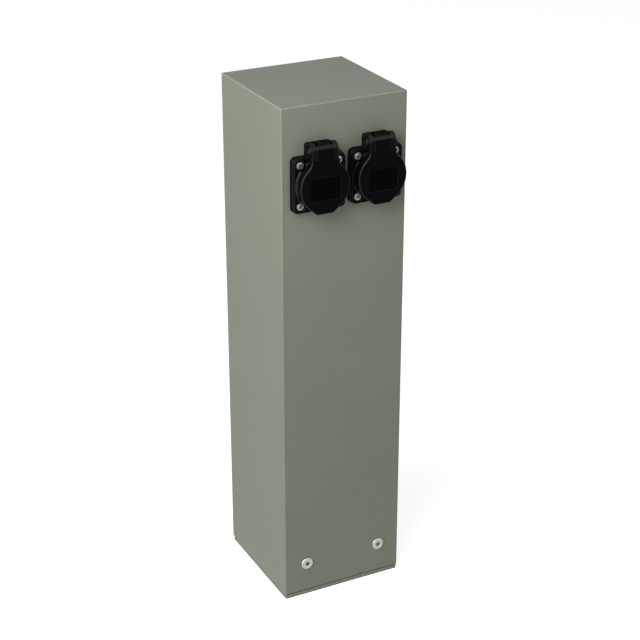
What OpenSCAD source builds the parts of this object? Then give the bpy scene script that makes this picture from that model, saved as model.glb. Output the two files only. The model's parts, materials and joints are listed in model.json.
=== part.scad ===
// Garden socket post: a square sheet-metal post on a base plate, with two
// panel outlets under sprung hinged lids. Front face towards -Y, height along +Z.
// The origin is the centre of the anchor hole pattern on the underside.

/* [Post] */
// Width of the post, side to side
post_w = 125; // [124:1:180]
// Depth of the post, front to back
post_d = 125; // [122:1:180]
// Height from the underside of the base plate to the top of the post
post_h = 500; // [460:5:900]
// Thickness of the post's sheet
sheet_t = 2; // [1.5:0.5:3]
// Outer radius of the post's folded edges
fold_r = 1.2; // [0.6:0.2:1.4]
// Gap between the base plate and the post's lower edge
foot_gap = 1; // [0.5:0.5:4]

/* [Base plate] */
// Thickness of the base plate
base_t = 4; // [3:0.5:8]
// How far the base plate stays inside the post's sides; its front edge is flush
base_inset = 0.5; // [0:0.5:2]
// Corner radius of the base plate
base_corner_r = 2; // [1:0.5:4]
// Distance of the anchor holes from the post's left and right faces
anchor_side = 17.5; // [16:0.5:19]
// Distance of the anchor holes from the post's front and rear faces
anchor_end = 32.5; // [30:0.5:35]
// Anchor hole diameter
anchor_d = 9; // [7:0.5:11]
// Diameter of the cable opening
cable_hole_d = 36; // [30:1:36]
// Wall of the cable grommet
grommet_wall = 2.2; // [1.5:0.1:3]
// Width of the grommet's rim on top of the base plate
grommet_rim = 3.3; // [2:0.1:3.5]
// Thickness of the grommet's rim
grommet_rim_t = 2.2; // [1.5:0.1:4]

/* [Base brackets] */
// Thickness of the brackets
bracket_t = 3; // [2:0.5:4]
// Width of the brackets
bracket_w = 104; // [96:1:110]
// Height of the brackets above the base plate
bracket_h = 48; // [40:1:60]
// Space between the brackets' feet and the equipment plate's foot
foot_space = 3.3; // [1:0.1:6]
// Spacing of the base screws
base_screw_span = 78.6; // [70:0.2:84]
// Height of the base screws
base_screw_z = 35.5; // [28:0.5:40]
// Thread diameter of the base screws
base_screw_d = 6; // [5:0.5:6]
// Length of the base screws under the head
base_screw_l = 14; // [12:1:20]
// Head diameter of the base screws
base_head_d = 12.2; // [10:0.2:14]
// Head height of the base screws
base_head_h = 2.2; // [1.6:0.1:4]
// Width across flats of the hexagon socket in the base screws
base_key = 4; // [3:0.5:5]

/* [Equipment plate] */
// Width of the equipment plate
plate_w = 70; // [70:1:72]
// Height of the equipment plate above the base plate
plate_h = 196; // [160:1:240]
// Thickness of the equipment plate
plate_t = 2; // [1.5:0.5:3]
// Space between the cable grommet and the equipment plate
plate_space = 0.7; // [0.5:0.1:2]
// Depth of the plate's foot
plate_foot = 18; // [16:0.5:18]
// Height of the terminal strip's lower edge
strip_z = 118; // [100:1:160]
// Height of the cable clamp's lower edge
clamp_z = 62; // [50:1:80]
// Cable diameter that the clamp takes
cable_d = 12; // [8:0.5:14]

/* [Wiring] */
// Outer diameter of a single wire
wire_d = 3.2; // [2.4:0.1:3.6]
// Distance between the strip's poles
pole_pitch = 8; // [7.5:0.5:9]

/* [Outlets] */
// Space between the two outlets' rear steps
outlet_space = 5.4; // [2:0.1:10]
// Distance of the outlets' centre below the top of the post
outlet_drop = 70.5; // [60:0.5:90]
// How far the flange's front part reaches past the collar
flange_side = 1.8; // [1.6:0.1:3]
// How far the gasket and the flange's rear step reach past the front part
step_lip = 0.8; // [0.4:0.1:1.5]
// Corner radius of the flange's front part
flange_r = 4; // [2:0.5:5]
// Corner radius of the gasket and the rear step
step_r = 5; // [2:0.5:6]
// Thickness of the gasket
gasket_t = 2; // [1:0.5:2.5]
// Thickness of the flange's rear step
step_t = 3.5; // [3:0.5:4.5]
// Thickness of the flange's front part
face_t = 2.5; // [2:0.5:3]
// Distance of the flange screws from the flange's edges
screw_edge = 6; // [5.4:0.1:6.6]
// Wall of the housing behind the flange
barrel_wall = 1.45; // [1.2:0.05:1.8]
// Length of the housing behind the wall's outer face
barrel_l = 14; // [10:0.5:16]

/* [Plug well] */
// Inner diameter of the plug well
well_d = 39.5; // [39:0.1:39.6]
// Depth of the plug well
well_depth = 17.5; // [17:0.1:18]
// Thickness of the plug well's floor
well_floor_t = 2.5; // [2:0.1:3]
// Wall of the collar around the plug well
collar_wall = 3.45; // [3:0.05:4]
// Height of the collar over the flange
collar_h = 7.6; // [7:0.1:8]
// Distance between the two pin holes
pin_span = 19; // [18.6:0.1:19.4]
// Diameter of the pin holes in the floor
pin_hole_d = 5.6; // [5.2:0.1:6]
// Bore of the pin contacts
contact_bore_d = 4.9; // [4.86:0.01:5]
// Width of the two guide ribs
rib_w = 4.6; // [3:0.1:5]
// Height of the two guide ribs
rib_h = 1.5; // [1:0.1:1.6]
// Width of the earth contact
earth_w = 5; // [4:0.1:5]

/* [Lid] */
// How far the lid reaches past the collar
lid_over = 1; // [0.5:0.1:2]
// Thickness of the lid over its rim
lid_t = 3; // [2.8:0.1:3.4]
// Gap between the collar and the closed lid
lid_gap = 0.4; // [0.3:0.1:0.6]
// Width of the lid's neck and of the hinge
neck_w = 26; // [26:0.2:27]
// Radius of the curve from the neck into the lid
neck_fillet_r = 10; // [6:0.5:14]
// Width of the lid's finger tab
tab_w = 18; // [12:0.5:22]
// Width of the recessed panel on the lid
panel_w = 30; // [20:1:32]
// Height of the recessed panel on the lid
panel_h = 21; // [12:1:23]
// Depth of the recessed panel on the lid
panel_depth = 0.4; // [0.2:0.1:0.6]

/* [Lid hinge] */
// Space between the flange's hinge ledge and the lid's hinge
hinge_space = 0.5; // [0.4:0.1:1]
// How far the hinge stays behind the lid's front face
hinge_back = 0.7; // [0.4:0.1:1]
// Radius of the hinge's rounded ends
knuckle_r = 6.3; // [6:0.1:6.4]
// Diameter of the hinge pin
pin_d = 3; // [2.4:0.1:3.2]
// Thickness of the housing's two ears
ear_t = 2.4; // [2:0.1:2.4]
// Largest opening angle of the lid
lid_open = 110; // [95:1:115]
// Wire diameter of the lid spring
spring_wire = 0.8; // [0.6:0.05:0.8]
// Mean radius of the lid spring
spring_r = 2.8; // [2.6:0.05:2.9]
// Distance between the lid spring's turns, centre to centre
spring_pitch = 1.4; // [1.3:0.05:1.6]

/* [Hidden] */
$fn = 64;
SIDES = ["left", "right"];

// Clearances: between still pieces, between moving pieces, in a running bore,
// around a screw in a through hole and around one in its thread
seat_gap = 0.2;
move_gap = 0.4;
run_gap = 0.05;
hole_gap = 0.3;
thread_gap = 0.05;
// How far a cutting shape runs past the face that it cuts
past = 1;

// Places of the post
wall_bottom = base_t + foot_gap;
outlet_z = post_h - outlet_drop;
inner_w = post_w - 2 * sheet_t;
inner_d = post_d - 2 * sheet_t;
anchor_x = post_w - 2 * anchor_side;
anchor_y = post_d - 2 * anchor_end;
grommet_rim_d = cable_hole_d + 2 * grommet_rim;
plate_y = grommet_rim_d / 2 + plate_space;
bracket_foot = inner_d / 2 - seat_gap - plate_y - plate_foot - foot_space;

// Base screws and nuts
base_nut_af = 1.667 * base_screw_d;
base_nut_h = 0.85 * base_screw_d;
bracket_face = sheet_t + seat_gap;
bracket_back = bracket_face + bracket_t;

// Earth stud with its washer, ring lug and nut, beside the cable opening
earth_x = -anchor_x / 2;
earth_d = 6;
earth_h = 17;
earth_washer_t = 1.2;
earth_lug_t = 1.5;
earth_nut_h = 5;
lug_barrel_wall = 1;
lug_barrel_l = 6.5;
lug_ring_d = 2.1 * earth_d;

// Equipment plate, terminal strip and clamp
plate_screw_d = 5;
plate_screw_span = 44;
plate_foot_mid = plate_y + (plate_foot + plate_t) / 2;
pole_count = 6;
strip_d = 14;
strip_h = 28;
strip_ear = 10;
pole_side = 2;
strip_w = (pole_count - 1) * pole_pitch + 2 * strip_ear + 2 * pole_side;
strip_screw_gap = 12;
strip_y = plate_y - strip_d / 2;
sleeve_d = 5;
sleeve_end = 3;
sleeve_bore_d = 2.6;
clamp_screw_d = 3;
clamp_side = 11;
clamp_w = cable_d + 2 * clamp_side;
clamp_h = 12;
clamp_top = 4;
clamp_y = plate_y - cable_d / 2;

// Outlet widths, all from the plug well outwards
collar_d = well_d + 2 * collar_wall;
barrel_d = well_d + 2 * barrel_wall;
flange_w = collar_d + 2 * flange_side;
step_w = flange_w + 2 * step_lip;
outlet_pitch = step_w + outlet_space;
flange_screw_span = flange_w - 2 * screw_edge;
lid_d = collar_d + 2 * lid_over;

// Outlet planes, measured outwards from the wall's outer face
flange_front = gasket_t + step_t + face_t;
collar_front = flange_front + collar_h;
well_floor = collar_front - well_depth;
well_back = well_floor - well_floor_t;
lid_back = collar_front + lid_gap;
lid_front = lid_back + lid_t;
cutout_d = barrel_d + 2 * hole_gap;
rib_top = collar_front - 2.6;

// Flange screws and nuts
flange_screw_d = 4;
flange_head_d = 8;
flange_head_h = 2.9;
pocket_d = flange_head_d + 1.2;
pocket_floor = flange_front - 2.8;
flange_nut_af = 7;
flange_nut_h = 3.2;
flange_screw_end = -sheet_t - flange_nut_h - 2;

// Contact carrier and rear cover behind the well's floor
carrier_d = well_d - 2 * seat_gap;
carrier_front = well_back - 0.1;
carrier_l = 20;
carrier_back = carrier_front - carrier_l;
cover_t = 2.5;
cover_back = carrier_back - cover_t;
cover_screw_d = 3;
cover_screw_span = 24;
cover_screw_up = 10;
contact_wall = 1.05;
contact_front = carrier_front - 1.5;
contact_l = 17;
contact_back = contact_front - contact_l;
cage_w = 7.2;
cage_top = -3;
cage_bottom = -12;
cage_l = 7;
cage_screw_y = -8;
cage_screw_d = 3;
cage_hole_out = contact_back + 3.4;
conductor_d = 2.4;
// Earth prongs: places of their middle line, out from the wall and off the centre
earth_t = 0.8;
earth_far = well_d / 2 - 1.25;
earth_line = [
    [carrier_front - 1.1, earth_far], [well_floor + 0.11 * well_depth, earth_far],
    [well_floor + 0.37 * well_depth, earth_far - 1.3], [well_floor + 0.6 * well_depth, earth_far - 0.1]
];

// Hinge
seal_w = 2;
seal_in_d = well_d + 1.1;
seal_t = 1.5;
ledge_up = flange_w / 2 + 1.2;
hinge_up = ledge_up + hinge_space + knuckle_r;
hinge_out = lid_front - hinge_back - knuckle_r;
back_plate_out = 4;
hinge_depth = hinge_out - back_plate_out;
knuckle_t = 1.5;
slot_half = neck_w / 2 - knuckle_t;
barrel_half = slot_half - ear_t - 2 * move_gap;
ear_mid = (barrel_half + slot_half) / 2;
swing_r = knuckle_r + 3.2;
pin_head_d = 5.2;
pin_head_t = 0.5;
eye_recess_d = 6.8;
eye_recess = 0.9;
back_plate_t = 2.8;
back_plate_up = 4.6;
barrel_top = 0.707 * knuckle_r;
// The lid's upper front edge meets the stop rib at the largest opening angle
stop_out = hinge_out - knuckle_r * cos(135 - lid_open) - 0.3;
barrel_back_r = knuckle_r * cos(135 - lid_open) - move_gap + 0.3;
pocket_half = barrel_half - 1.3;
pocket_r = spring_r + spring_wire / 2 + move_gap;
// The spring's fixed leg lies on the left in the window, its moving leg on the right
window_w = 3.2;
window_right = window_w - pocket_half;
window_front = 2.5;
fixed_leg_x = window_w / 2 - pocket_half;
fixed_leg_l = 6.4;
moving_leg_x = pocket_half - 0.8;
spring_turns = floor((moving_leg_x - fixed_leg_x) / spring_pitch);
leg_pad_top = hinge_up - spring_r - spring_wire / 2 - 0.1;

// Wires: the poles' places, from left to right, and the contacts they serve
pole_x = [for (i = [0:pole_count - 1]) (i - (pole_count - 1) / 2) * pole_pitch];
wire_low = strip_z + strip_h - sleeve_end;
wire_high = outlet_z + cage_bottom;
wire_y = -post_d / 2 - cage_hole_out;
wire_rings = 9;
wire_sides = 8;
wire_straight = 28;
// Route of the earth lead from the lug's barrel up to the terminal strip
earth_route = [
    [earth_x, 9, 8], [earth_x, 13, 8], [-45, 16, 10], [-43, 18, 16], [-36, 17, 40],
    [-26, 16, 72], [-17, 15, 98], [-12, 15, 108]
];

// Colours
sage = [0.46, 0.49, 0.43];
black_plastic = [0.05, 0.05, 0.055];
dark_plastic = [0.16, 0.16, 0.17];
rubber = [0.03, 0.03, 0.03];
stainless = [0.75, 0.75, 0.74];
zinc = [0.62, 0.63, 0.64];
brass = [0.75, 0.6, 0.3];
cream = [0.85, 0.83, 0.75];

function side_of(side) = side == "left" ? -1 : 1;
// Outlet on one side: its X runs to the right, Y upwards and Z out of the wall
module at_outlet(side) {
    translate([side_of(side) * outlet_pitch / 2, -post_d / 2, outlet_z])
        rotate([90, 0, 0]) children();
}
// Front wall at floor level in the same directions, and the rear wall
module at_front() { translate([0, -post_d / 2, 0]) rotate([90, 0, 0]) children(); }
module at_rear() { rotate([0, 0, 180]) at_front() children(); }
// Outline drawn as [out, up], carried along the outlet's X about its middle
module along_x(length, x = 0) {
    translate([x, 0, 0]) rotate([0, -90, 0]) linear_extrude(length, center = true) children();
}
// Round bar along the outlet's X at the hinge axis
module hinge_bar(d, length, x = 0) {
    translate([x, hinge_up, hinge_out]) rotate([0, 90, 0]) cylinder(d = d, h = length, center = true);
}
module four(dx, dy) {
    for (sx = [-1, 1], sy = [-1, 1]) translate([sx * dx / 2, sy * dy / 2]) children();
}
module rounded_rect(w, h, r) {
    square([w - 2 * r, h], center = true);
    square([w, h - 2 * r], center = true);
    four(w - 2 * r, h - 2 * r) circle(r);
}
module hex_prism(af, h) { rotate(30) cylinder(d = af / cos(30), h = h, $fn = 6); }
module nut(af, bore_d, h) {
    difference() {
        hex_prism(af, h);
        translate([0, 0, -past]) cylinder(d = bore_d, h = h + 2 * past);
    }
}
// Pan head with a cross recess on its shank, seated on Z = 0, shank downwards
module pan_screw(d, head_d, head_h, length) {
    dome_r = (pow(head_d / 2, 2) + pow(head_h, 2)) / head_h / 1.5;
    recess_w = 0.14 * head_d;
    difference() {
        intersection() {
            cylinder(d = head_d, h = head_h);
            translate([0, 0, head_h - dome_r]) sphere(dome_r);
        }
        for (a = [0, 90])
            rotate(a) translate([-0.29 * head_d, -recess_w / 2, 0.45 * head_h])
                cube([0.58 * head_d, recess_w, head_h]);
    }
    translate([0, 0, -length]) cylinder(d = d, h = length + 0.1);
}

// Unit vector, smooth points through given ones and a path's direction at a point
function unit(v) = v / norm(v);
function spline_point(a, b, c, d, t) =
    0.5 * (2 * b + (c - a) * t + (2 * a - 5 * b + 4 * c - d) * t * t
    + (3 * b - a - 3 * c + d) * t * t * t);
function smooth_path(p, steps) = [
    for (i = [0:len(p) - 2], k = [0:steps - 1])
        spline_point(p[max(i - 1, 0)], p[i], p[i + 1], p[min(i + 2, len(p) - 1)], k / steps),
    p[len(p) - 1]
];
function heading(p, i) = unit(p[min(i + 1, len(p) - 1)] - p[max(i - 1, 0)]);
// Tube swept along a path, its rings square to the path and kept level with the X axis
module tube(path, d, sides) {
    count = len(path);
    rings = [
        for (i = [0:count - 1])
            let (t = heading(path, i), a = unit(cross(t, cross([1, 0, 0], t))), b = cross(t, a))
            for (k = [0:sides - 1])
                let (w = 360 * k / sides) path[i] + d / 2 * (cos(w) * a + sin(w) * b)
    ];
    walls = [
        for (i = [0:count - 2], k = [0:sides - 1])
            let (m = (k + 1) % sides, u = i * sides, v = u + sides)
            each [[u + k, v + k, v + m], [u + k, v + m, u + m]]
    ];
    first = [for (k = [1:sides - 2]) [0, k, k + 1]];
    last = [for (k = [1:sides - 2]) let (u = (count - 1) * sides) [u, u + k + 1, u + k]];
    polyhedron(rings, concat(walls, first, last));
}

// Post: one folded and welded sheet with a closed top
module post_skin(w, d, low, high, r) {
    intersection() {
        translate([0, 0, low]) linear_extrude(high - low) rounded_rect(w, d, r);
        translate([0, 0, high / 2]) rotate([90, 0, 90])
            linear_extrude(w + 2, center = true) rounded_rect(d, high, r);
        translate([0, 0, high / 2]) rotate([90, 0, 0])
            linear_extrude(d + 2, center = true) rounded_rect(w, high, r);
    }
}
module base_screw_places() {
    for (s = [-1, 1]) translate([s * base_screw_span / 2, base_screw_z, 0]) children();
}
module post_body() {
    inner_top = post_h - sheet_t;
    color(sage) difference() {
        post_skin(post_w, post_d, wall_bottom, post_h, fold_r);
        translate([-inner_w / 2, -inner_d / 2, 0]) cube([inner_w, inner_d, inner_top]);
        for (side = SIDES) at_outlet(side) translate([0, 0, -sheet_t - past]) {
            cylinder(d = cutout_d, h = sheet_t + 2 * past);
            four(flange_screw_span, flange_screw_span)
                cylinder(d = flange_screw_d + 2 * hole_gap, h = sheet_t + 2 * past);
        }
        at_front() base_screw_hole(sheet_t);
        at_rear() base_screw_hole(sheet_t);
    }
}
module base_screw_hole(depth) {
    base_screw_places() translate([0, 0, -depth - past])
        cylinder(d = base_screw_d + 2 * hole_gap, h = depth + 2 * past);
}

// Base plate with anchor holes, cable opening and threads for the equipment plate
module base_plate() {
    color(sage) difference() {
        translate([0, -base_inset, 0]) linear_extrude(base_t)
            rounded_rect(post_w - 2 * base_inset, post_d - 2 * base_inset, base_corner_r);
        translate([0, 0, -past]) {
            four(anchor_x, anchor_y) cylinder(d = anchor_d, h = base_t + 2 * past);
            cylinder(d = cable_hole_d, h = base_t + 2 * past);
            plate_screw_places() cylinder(d = plate_screw_d + 2 * thread_gap, h = base_t + 2 * past);
        }
    }
}
module base_bracket() {
    foot_y = inner_d / 2 - seat_gap;
    color(zinc) difference() {
        translate([-bracket_w / 2, -foot_y, base_t]) union() {
            cube([bracket_w, bracket_foot, bracket_t]);
            cube([bracket_w, bracket_t, bracket_h]);
        }
        at_front() base_screw_hole(bracket_back);
    }
}
module base_bracket_front() { base_bracket(); }
module base_bracket_rear() { rotate([0, 0, 180]) base_bracket(); }
// Flat stainless head with a bevelled rim and a hexagon socket
module base_screw() {
    bevel = 0.5;
    color(stainless) {
        difference() {
            union() {
                cylinder(d = base_head_d, h = base_head_h - bevel);
                translate([0, 0, base_head_h - bevel])
                    cylinder(d1 = base_head_d, d2 = base_head_d - 2 * bevel, h = bevel);
            }
            translate([0, 0, 0.25 * base_head_h]) hex_prism(base_key, base_head_h);
        }
        translate([0, 0, -base_screw_l]) cylinder(d = base_screw_d, h = base_screw_l + 0.1);
    }
}
module base_screws() {
    at_front() base_screw_places() base_screw();
    at_rear() base_screw_places() base_screw();
}
module base_nuts() {
    module pair() {
        base_screw_places() translate([0, 0, -bracket_back - base_nut_h])
            nut(base_nut_af, base_screw_d + 2 * thread_gap, base_nut_h);
    }
    color(zinc) {
        at_front() pair();
        at_rear() pair();
    }
}
module cable_grommet() {
    bore_d = cable_hole_d - 2 * seat_gap - 2 * grommet_wall;
    low = 0.5;
    color(rubber) difference() {
        union() {
            translate([0, 0, low]) cylinder(d = cable_hole_d - 2 * seat_gap, h = base_t - low + 0.1);
            translate([0, 0, base_t]) cylinder(d = grommet_rim_d, h = grommet_rim_t);
        }
        translate([0, 0, -past]) cylinder(d = bore_d, h = base_t + grommet_rim_t + 2 * past);
    }
}

// Earth stud on the base plate
module at_earth(z) { translate([earth_x, 0, base_t + z]) children(); }
module earth_stud() { color(zinc) at_earth(0) cylinder(d = earth_d, h = earth_h); }
module earth_washer() {
    color(zinc) at_earth(0) difference() {
        cylinder(d = 2 * earth_d, h = earth_washer_t);
        translate([0, 0, -past]) cylinder(d = earth_d + 2 * hole_gap, h = earth_washer_t + 2 * past);
    }
}
module earth_lug() {
    barrel_out_d = wire_d + 2 * lug_barrel_wall + 2 * seat_gap;
    start = lug_ring_d / 2;
    color(stainless) at_earth(earth_washer_t) difference() {
        union() {
            cylinder(d = lug_ring_d, h = earth_lug_t);
            translate([-barrel_out_d / 2, 0, 0]) cube([barrel_out_d, start + 1, earth_lug_t]);
            translate([0, start, wire_d / 2 + lug_barrel_wall])
                rotate([-90, 0, 0]) cylinder(d = barrel_out_d, h = lug_barrel_l);
        }
        translate([0, 0, -past]) cylinder(d = earth_d + 2 * hole_gap, h = earth_lug_t + 2 * past);
        translate([0, start + 1.5, wire_d / 2 + lug_barrel_wall])
            rotate([-90, 0, 0]) cylinder(d = wire_d + 2 * seat_gap, h = lug_barrel_l);
    }
}
module earth_nut() {
    color(zinc) at_earth(earth_washer_t + earth_lug_t)
        nut(1.667 * earth_d, earth_d + 2 * thread_gap, earth_nut_h);
}

// Equipment plate, upright behind the cable opening
module plate_screw_places() {
    for (s = [-1, 1]) translate([s * plate_screw_span / 2, plate_foot_mid, 0]) children();
}
// Places on the plate's front face: X across, Y up, Z towards the front
module at_plate(z) { translate([0, plate_y, z]) rotate([90, 0, 0]) children(); }
module strip_fixing_places() {
    for (s = [-1, 1]) translate([s * (strip_w - strip_ear) / 2, strip_h / 2, 0]) children();
}
module clamp_screw_places() {
    for (s = [-1, 1]) translate([s * (cable_d + clamp_side) / 2, clamp_h / 2, 0]) children();
}
module equipment_plate() {
    color(zinc) difference() {
        translate([-plate_w / 2, plate_y, base_t]) union() {
            cube([plate_w, plate_t, plate_h]);
            cube([plate_w, plate_foot, plate_t]);
        }
        plate_screw_places() cylinder(d = plate_screw_d + 2 * hole_gap, h = 4 * base_t);
        at_plate(strip_z) strip_fixing_places() translate([0, 0, -2 * plate_t])
            cylinder(d = clamp_screw_d + 2 * thread_gap, h = 3 * plate_t);
        at_plate(clamp_z) clamp_screw_places() translate([0, 0, -2 * plate_t])
            cylinder(d = clamp_screw_d + 2 * thread_gap, h = 3 * plate_t);
    }
}
module equipment_plate_screws() {
    color(zinc) translate([0, 0, base_t + plate_t]) plate_screw_places()
        pan_screw(plate_screw_d, 2 * plate_screw_d, 0.6 * plate_screw_d, plate_t + base_t - 0.5);
}
// Clamping screws' heights on the terminal strip
strip_screw_up = [(strip_h - strip_screw_gap) / 2, (strip_h + strip_screw_gap) / 2];
module terminal_strip() {
    color(cream) difference() {
        at_plate(strip_z) difference() {
            translate([-strip_w / 2, 0, 0]) union() {
                cube([strip_w, strip_h, 0.55 * strip_d]);
                translate([strip_ear, sleeve_end, 0])
                    cube([strip_w - 2 * strip_ear, strip_h - 2 * sleeve_end, strip_d]);
                translate([strip_ear, 0, 0]) cube([strip_w - 2 * strip_ear, strip_h, 0.8 * strip_d]);
            }
            strip_fixing_places() translate([0, 0, -past])
                cylinder(d = clamp_screw_d + 2 * hole_gap, h = strip_d + 2 * past);
            for (x = pole_x, y = strip_screw_up) translate([x, y, strip_d / 2])
                cylinder(d = clamp_screw_d + 2 * hole_gap, h = strip_d);
        }
        for (x = pole_x) translate([x, strip_y, strip_z - past])
            cylinder(d = sleeve_d + 2 * seat_gap, h = strip_h + 2 * past);
    }
}
module terminal_sleeves() {
    color(brass) for (x = pole_x) difference() {
        translate([x, strip_y, strip_z + sleeve_end]) cylinder(d = sleeve_d, h = strip_h - 2 * sleeve_end);
        translate([x, strip_y, strip_z]) cylinder(d = sleeve_bore_d, h = strip_h);
        for (y = strip_screw_up) translate([x, strip_y, strip_z + y]) rotate([90, 0, 0])
            cylinder(d = clamp_screw_d + 2 * thread_gap, h = sleeve_d);
    }
}
module terminal_clamp_screws() {
    tip = sleeve_bore_d / 2 + 0.1;
    length = strip_d / 2 - tip - 1;
    color(zinc) for (x = pole_x, y = strip_screw_up)
        translate([x, strip_y - tip, strip_z + y]) rotate([90, 0, 0]) difference() {
            cylinder(d = clamp_screw_d, h = length);
            translate([-clamp_screw_d, -0.3, length - 0.8]) cube([2 * clamp_screw_d, 0.6, past]);
        }
}
module terminal_fixing_screws() {
    seat = 0.55 * strip_d;
    color(zinc) at_plate(strip_z) strip_fixing_places() translate([0, 0, seat])
        pan_screw(clamp_screw_d, 2 * clamp_screw_d, 2, seat + plate_t + 1);
}
module cable_clamp() {
    thick = cable_d + clamp_top;
    color(dark_plastic) difference() {
        at_plate(clamp_z) translate([-clamp_w / 2, 0, 0]) cube([clamp_w, clamp_h, thick]);
        translate([0, clamp_y, clamp_z - past]) cylinder(d = cable_d + 2 * seat_gap, h = clamp_h + 2 * past);
        translate([-cable_d / 2 - seat_gap, clamp_y, clamp_z - past])
            cube([cable_d + 2 * seat_gap, cable_d, clamp_h + 2 * past]);
        at_plate(clamp_z) clamp_screw_places() translate([0, 0, -past])
            cylinder(d = clamp_screw_d + 2 * hole_gap, h = thick + 2 * past);
    }
}
module cable_clamp_screws() {
    seat = cable_d + clamp_top;
    color(zinc) at_plate(clamp_z) clamp_screw_places() translate([0, 0, seat])
        pan_screw(clamp_screw_d, 2 * clamp_screw_d, 2, seat + plate_t + 1);
}

// Wires: straight up from a pole, across in an S, then straight up to the contact
function ease(t) = let (s = min(max(t, 0), 1)) s * s * (3 - 2 * s);
function wire_path(pole, x) = [
    for (i = [0:wire_rings - 1])
        let (
            z = wire_low + (wire_high - wire_low) * i / (wire_rings - 1),
            s = ease((z - wire_low - wire_straight) / (wire_high - wire_low - 2 * wire_straight))
        )
        [pole_x[pole] + (x - pole_x[pole]) * s, strip_y + (wire_y - strip_y) * s, z]
];
module wires(poles, offset) {
    tube(wire_path(poles[0], -outlet_pitch / 2 + offset), wire_d, wire_sides);
    tube(wire_path(poles[1], outlet_pitch / 2 + offset), wire_d, wire_sides);
}
module wires_brown() { color([0.35, 0.2, 0.1]) wires([0, 3], -pin_span / 2); }
module wires_blue() { color([0.1, 0.25, 0.6]) wires([2, 5], pin_span / 2); }
module wires_earth() {
    color([0.4, 0.6, 0.1]) {
        wires([1, 4], 0);
        tube(earth_lead(), wire_d, wire_sides);
    }
}
function earth_lead() = let (top = [pole_x[1], strip_y, strip_z + sleeve_end])
    smooth_path(concat(earth_route, [top - [0, 0, 6], top]), 2);

// Outlet: gasket, housing with plug well and hinge ears
module gasket(side) {
    color(rubber) at_outlet(side) difference() {
        linear_extrude(gasket_t) rounded_rect(step_w, step_w, step_r);
        translate([0, 0, -past]) {
            cylinder(d = barrel_d + 2 * move_gap, h = gasket_t + 2 * past);
            four(flange_screw_span, flange_screw_span)
                cylinder(d = flange_screw_d + 2 * hole_gap, h = gasket_t + 2 * past);
        }
    }
}
// One ear, drawn as [out, up]: round at the back, square below at the front
module ear_outline() {
    translate([hinge_out, hinge_up]) {
        circle(knuckle_r);
        intersection() {
            circle(swing_r - move_gap);
            translate([0, -knuckle_r - 0.2]) square([knuckle_r, knuckle_r + 0.2]);
        }
    }
    translate([back_plate_out - 1, ledge_up - 1.7])
        square([hinge_out - back_plate_out + 1, hinge_up + back_plate_up - ledge_up + 1.7]);
}
module hinge_mount() {
    half = neck_w / 2 - 0.5;
    wall_side = back_plate_out - back_plate_t;
    top = hinge_up + back_plate_up;
    r = 2.5;
    // Back plate, clear of the gasket at its lower end
    translate([0, 0, wall_side]) linear_extrude(back_plate_t) {
        translate([-half, step_w / 2 + seat_gap]) square([2 * half, top - r - step_w / 2 - seat_gap]);
        translate([-half + r, step_w / 2 + seat_gap])
            square([2 * half - 2 * r, top - step_w / 2 - seat_gap]);
        for (s = [-1, 1]) translate([s * (half - r), top - r]) circle(r);
    }
    // Ledge between flange and back plate
    translate([-half, flange_w / 2 - 1, gasket_t])
        cube([2 * half, ledge_up - flange_w / 2 + 1, flange_front - gasket_t]);
    for (s = [-1, 1]) along_x(ear_t, s * ear_mid) ear_outline();
    // Rib that stops the opened lid, and the pad under the spring's fixed leg
    translate([-1, ledge_up - 0.5, back_plate_out - 0.5])
        cube([7, hinge_up + 3 - ledge_up + 0.5, stop_out - back_plate_out + 0.5]);
    translate([fixed_leg_x - 1.4, ledge_up - 0.5, back_plate_out - 0.5])
        cube([2.8, leg_pad_top - ledge_up + 0.5, 3.3]);
}
module outlet_housing(side) {
    color(black_plastic) at_outlet(side) {
        difference() {
            union() {
                translate([0, 0, gasket_t]) linear_extrude(step_t) rounded_rect(step_w, step_w, step_r);
                translate([0, 0, gasket_t + step_t - 0.1])
                    linear_extrude(face_t + 0.1) rounded_rect(flange_w, flange_w, flange_r);
                translate([0, 0, gasket_t]) cylinder(d = collar_d, h = collar_front - gasket_t);
                translate([0, 0, flange_front]) cylinder(d1 = collar_d + 2, d2 = collar_d, h = 2);
                translate([0, 0, -barrel_l]) cylinder(d = barrel_d, h = barrel_l + gasket_t + 0.1);
                hinge_mount();
            }
            translate([0, 0, well_floor]) cylinder(d = well_d, h = well_depth + past);
            translate([0, 0, -barrel_l - past]) cylinder(d = well_d, h = barrel_l + well_back + past);
            for (s = [-1, 1]) {
                translate([s * pin_span / 2, 0, well_back - past])
                    cylinder(d = pin_hole_d, h = well_floor_t + 2 * past);
                translate([-earth_w / 2 - 0.3, s * earth_far - earth_t, well_back - past])
                    cube([earth_w + 0.6, 2 * earth_t, well_floor_t + 2 * past]);
                translate([s * cover_screw_span / 2, cover_screw_up, well_back - past])
                    cylinder(d = cover_screw_d + 2 * thread_gap, h = well_floor_t - 0.5 + past);
            }
            translate([0, 0, pocket_floor]) four(flange_screw_span, flange_screw_span)
                cylinder(d = pocket_d, h = collar_h - past);
            four(flange_screw_span, flange_screw_span)
                cylinder(d = flange_screw_d + 2 * hole_gap, h = collar_front);
            hinge_bar(pin_d + 0.04, neck_w);
        }
        for (s = [-1, 1]) translate([s * (well_d / 2 - rib_h / 2 + 0.5), 0, (well_floor + rib_top) / 2])
            cube([rib_h + 1, rib_w, rib_top - well_floor], center = true);
    }
}

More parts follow.
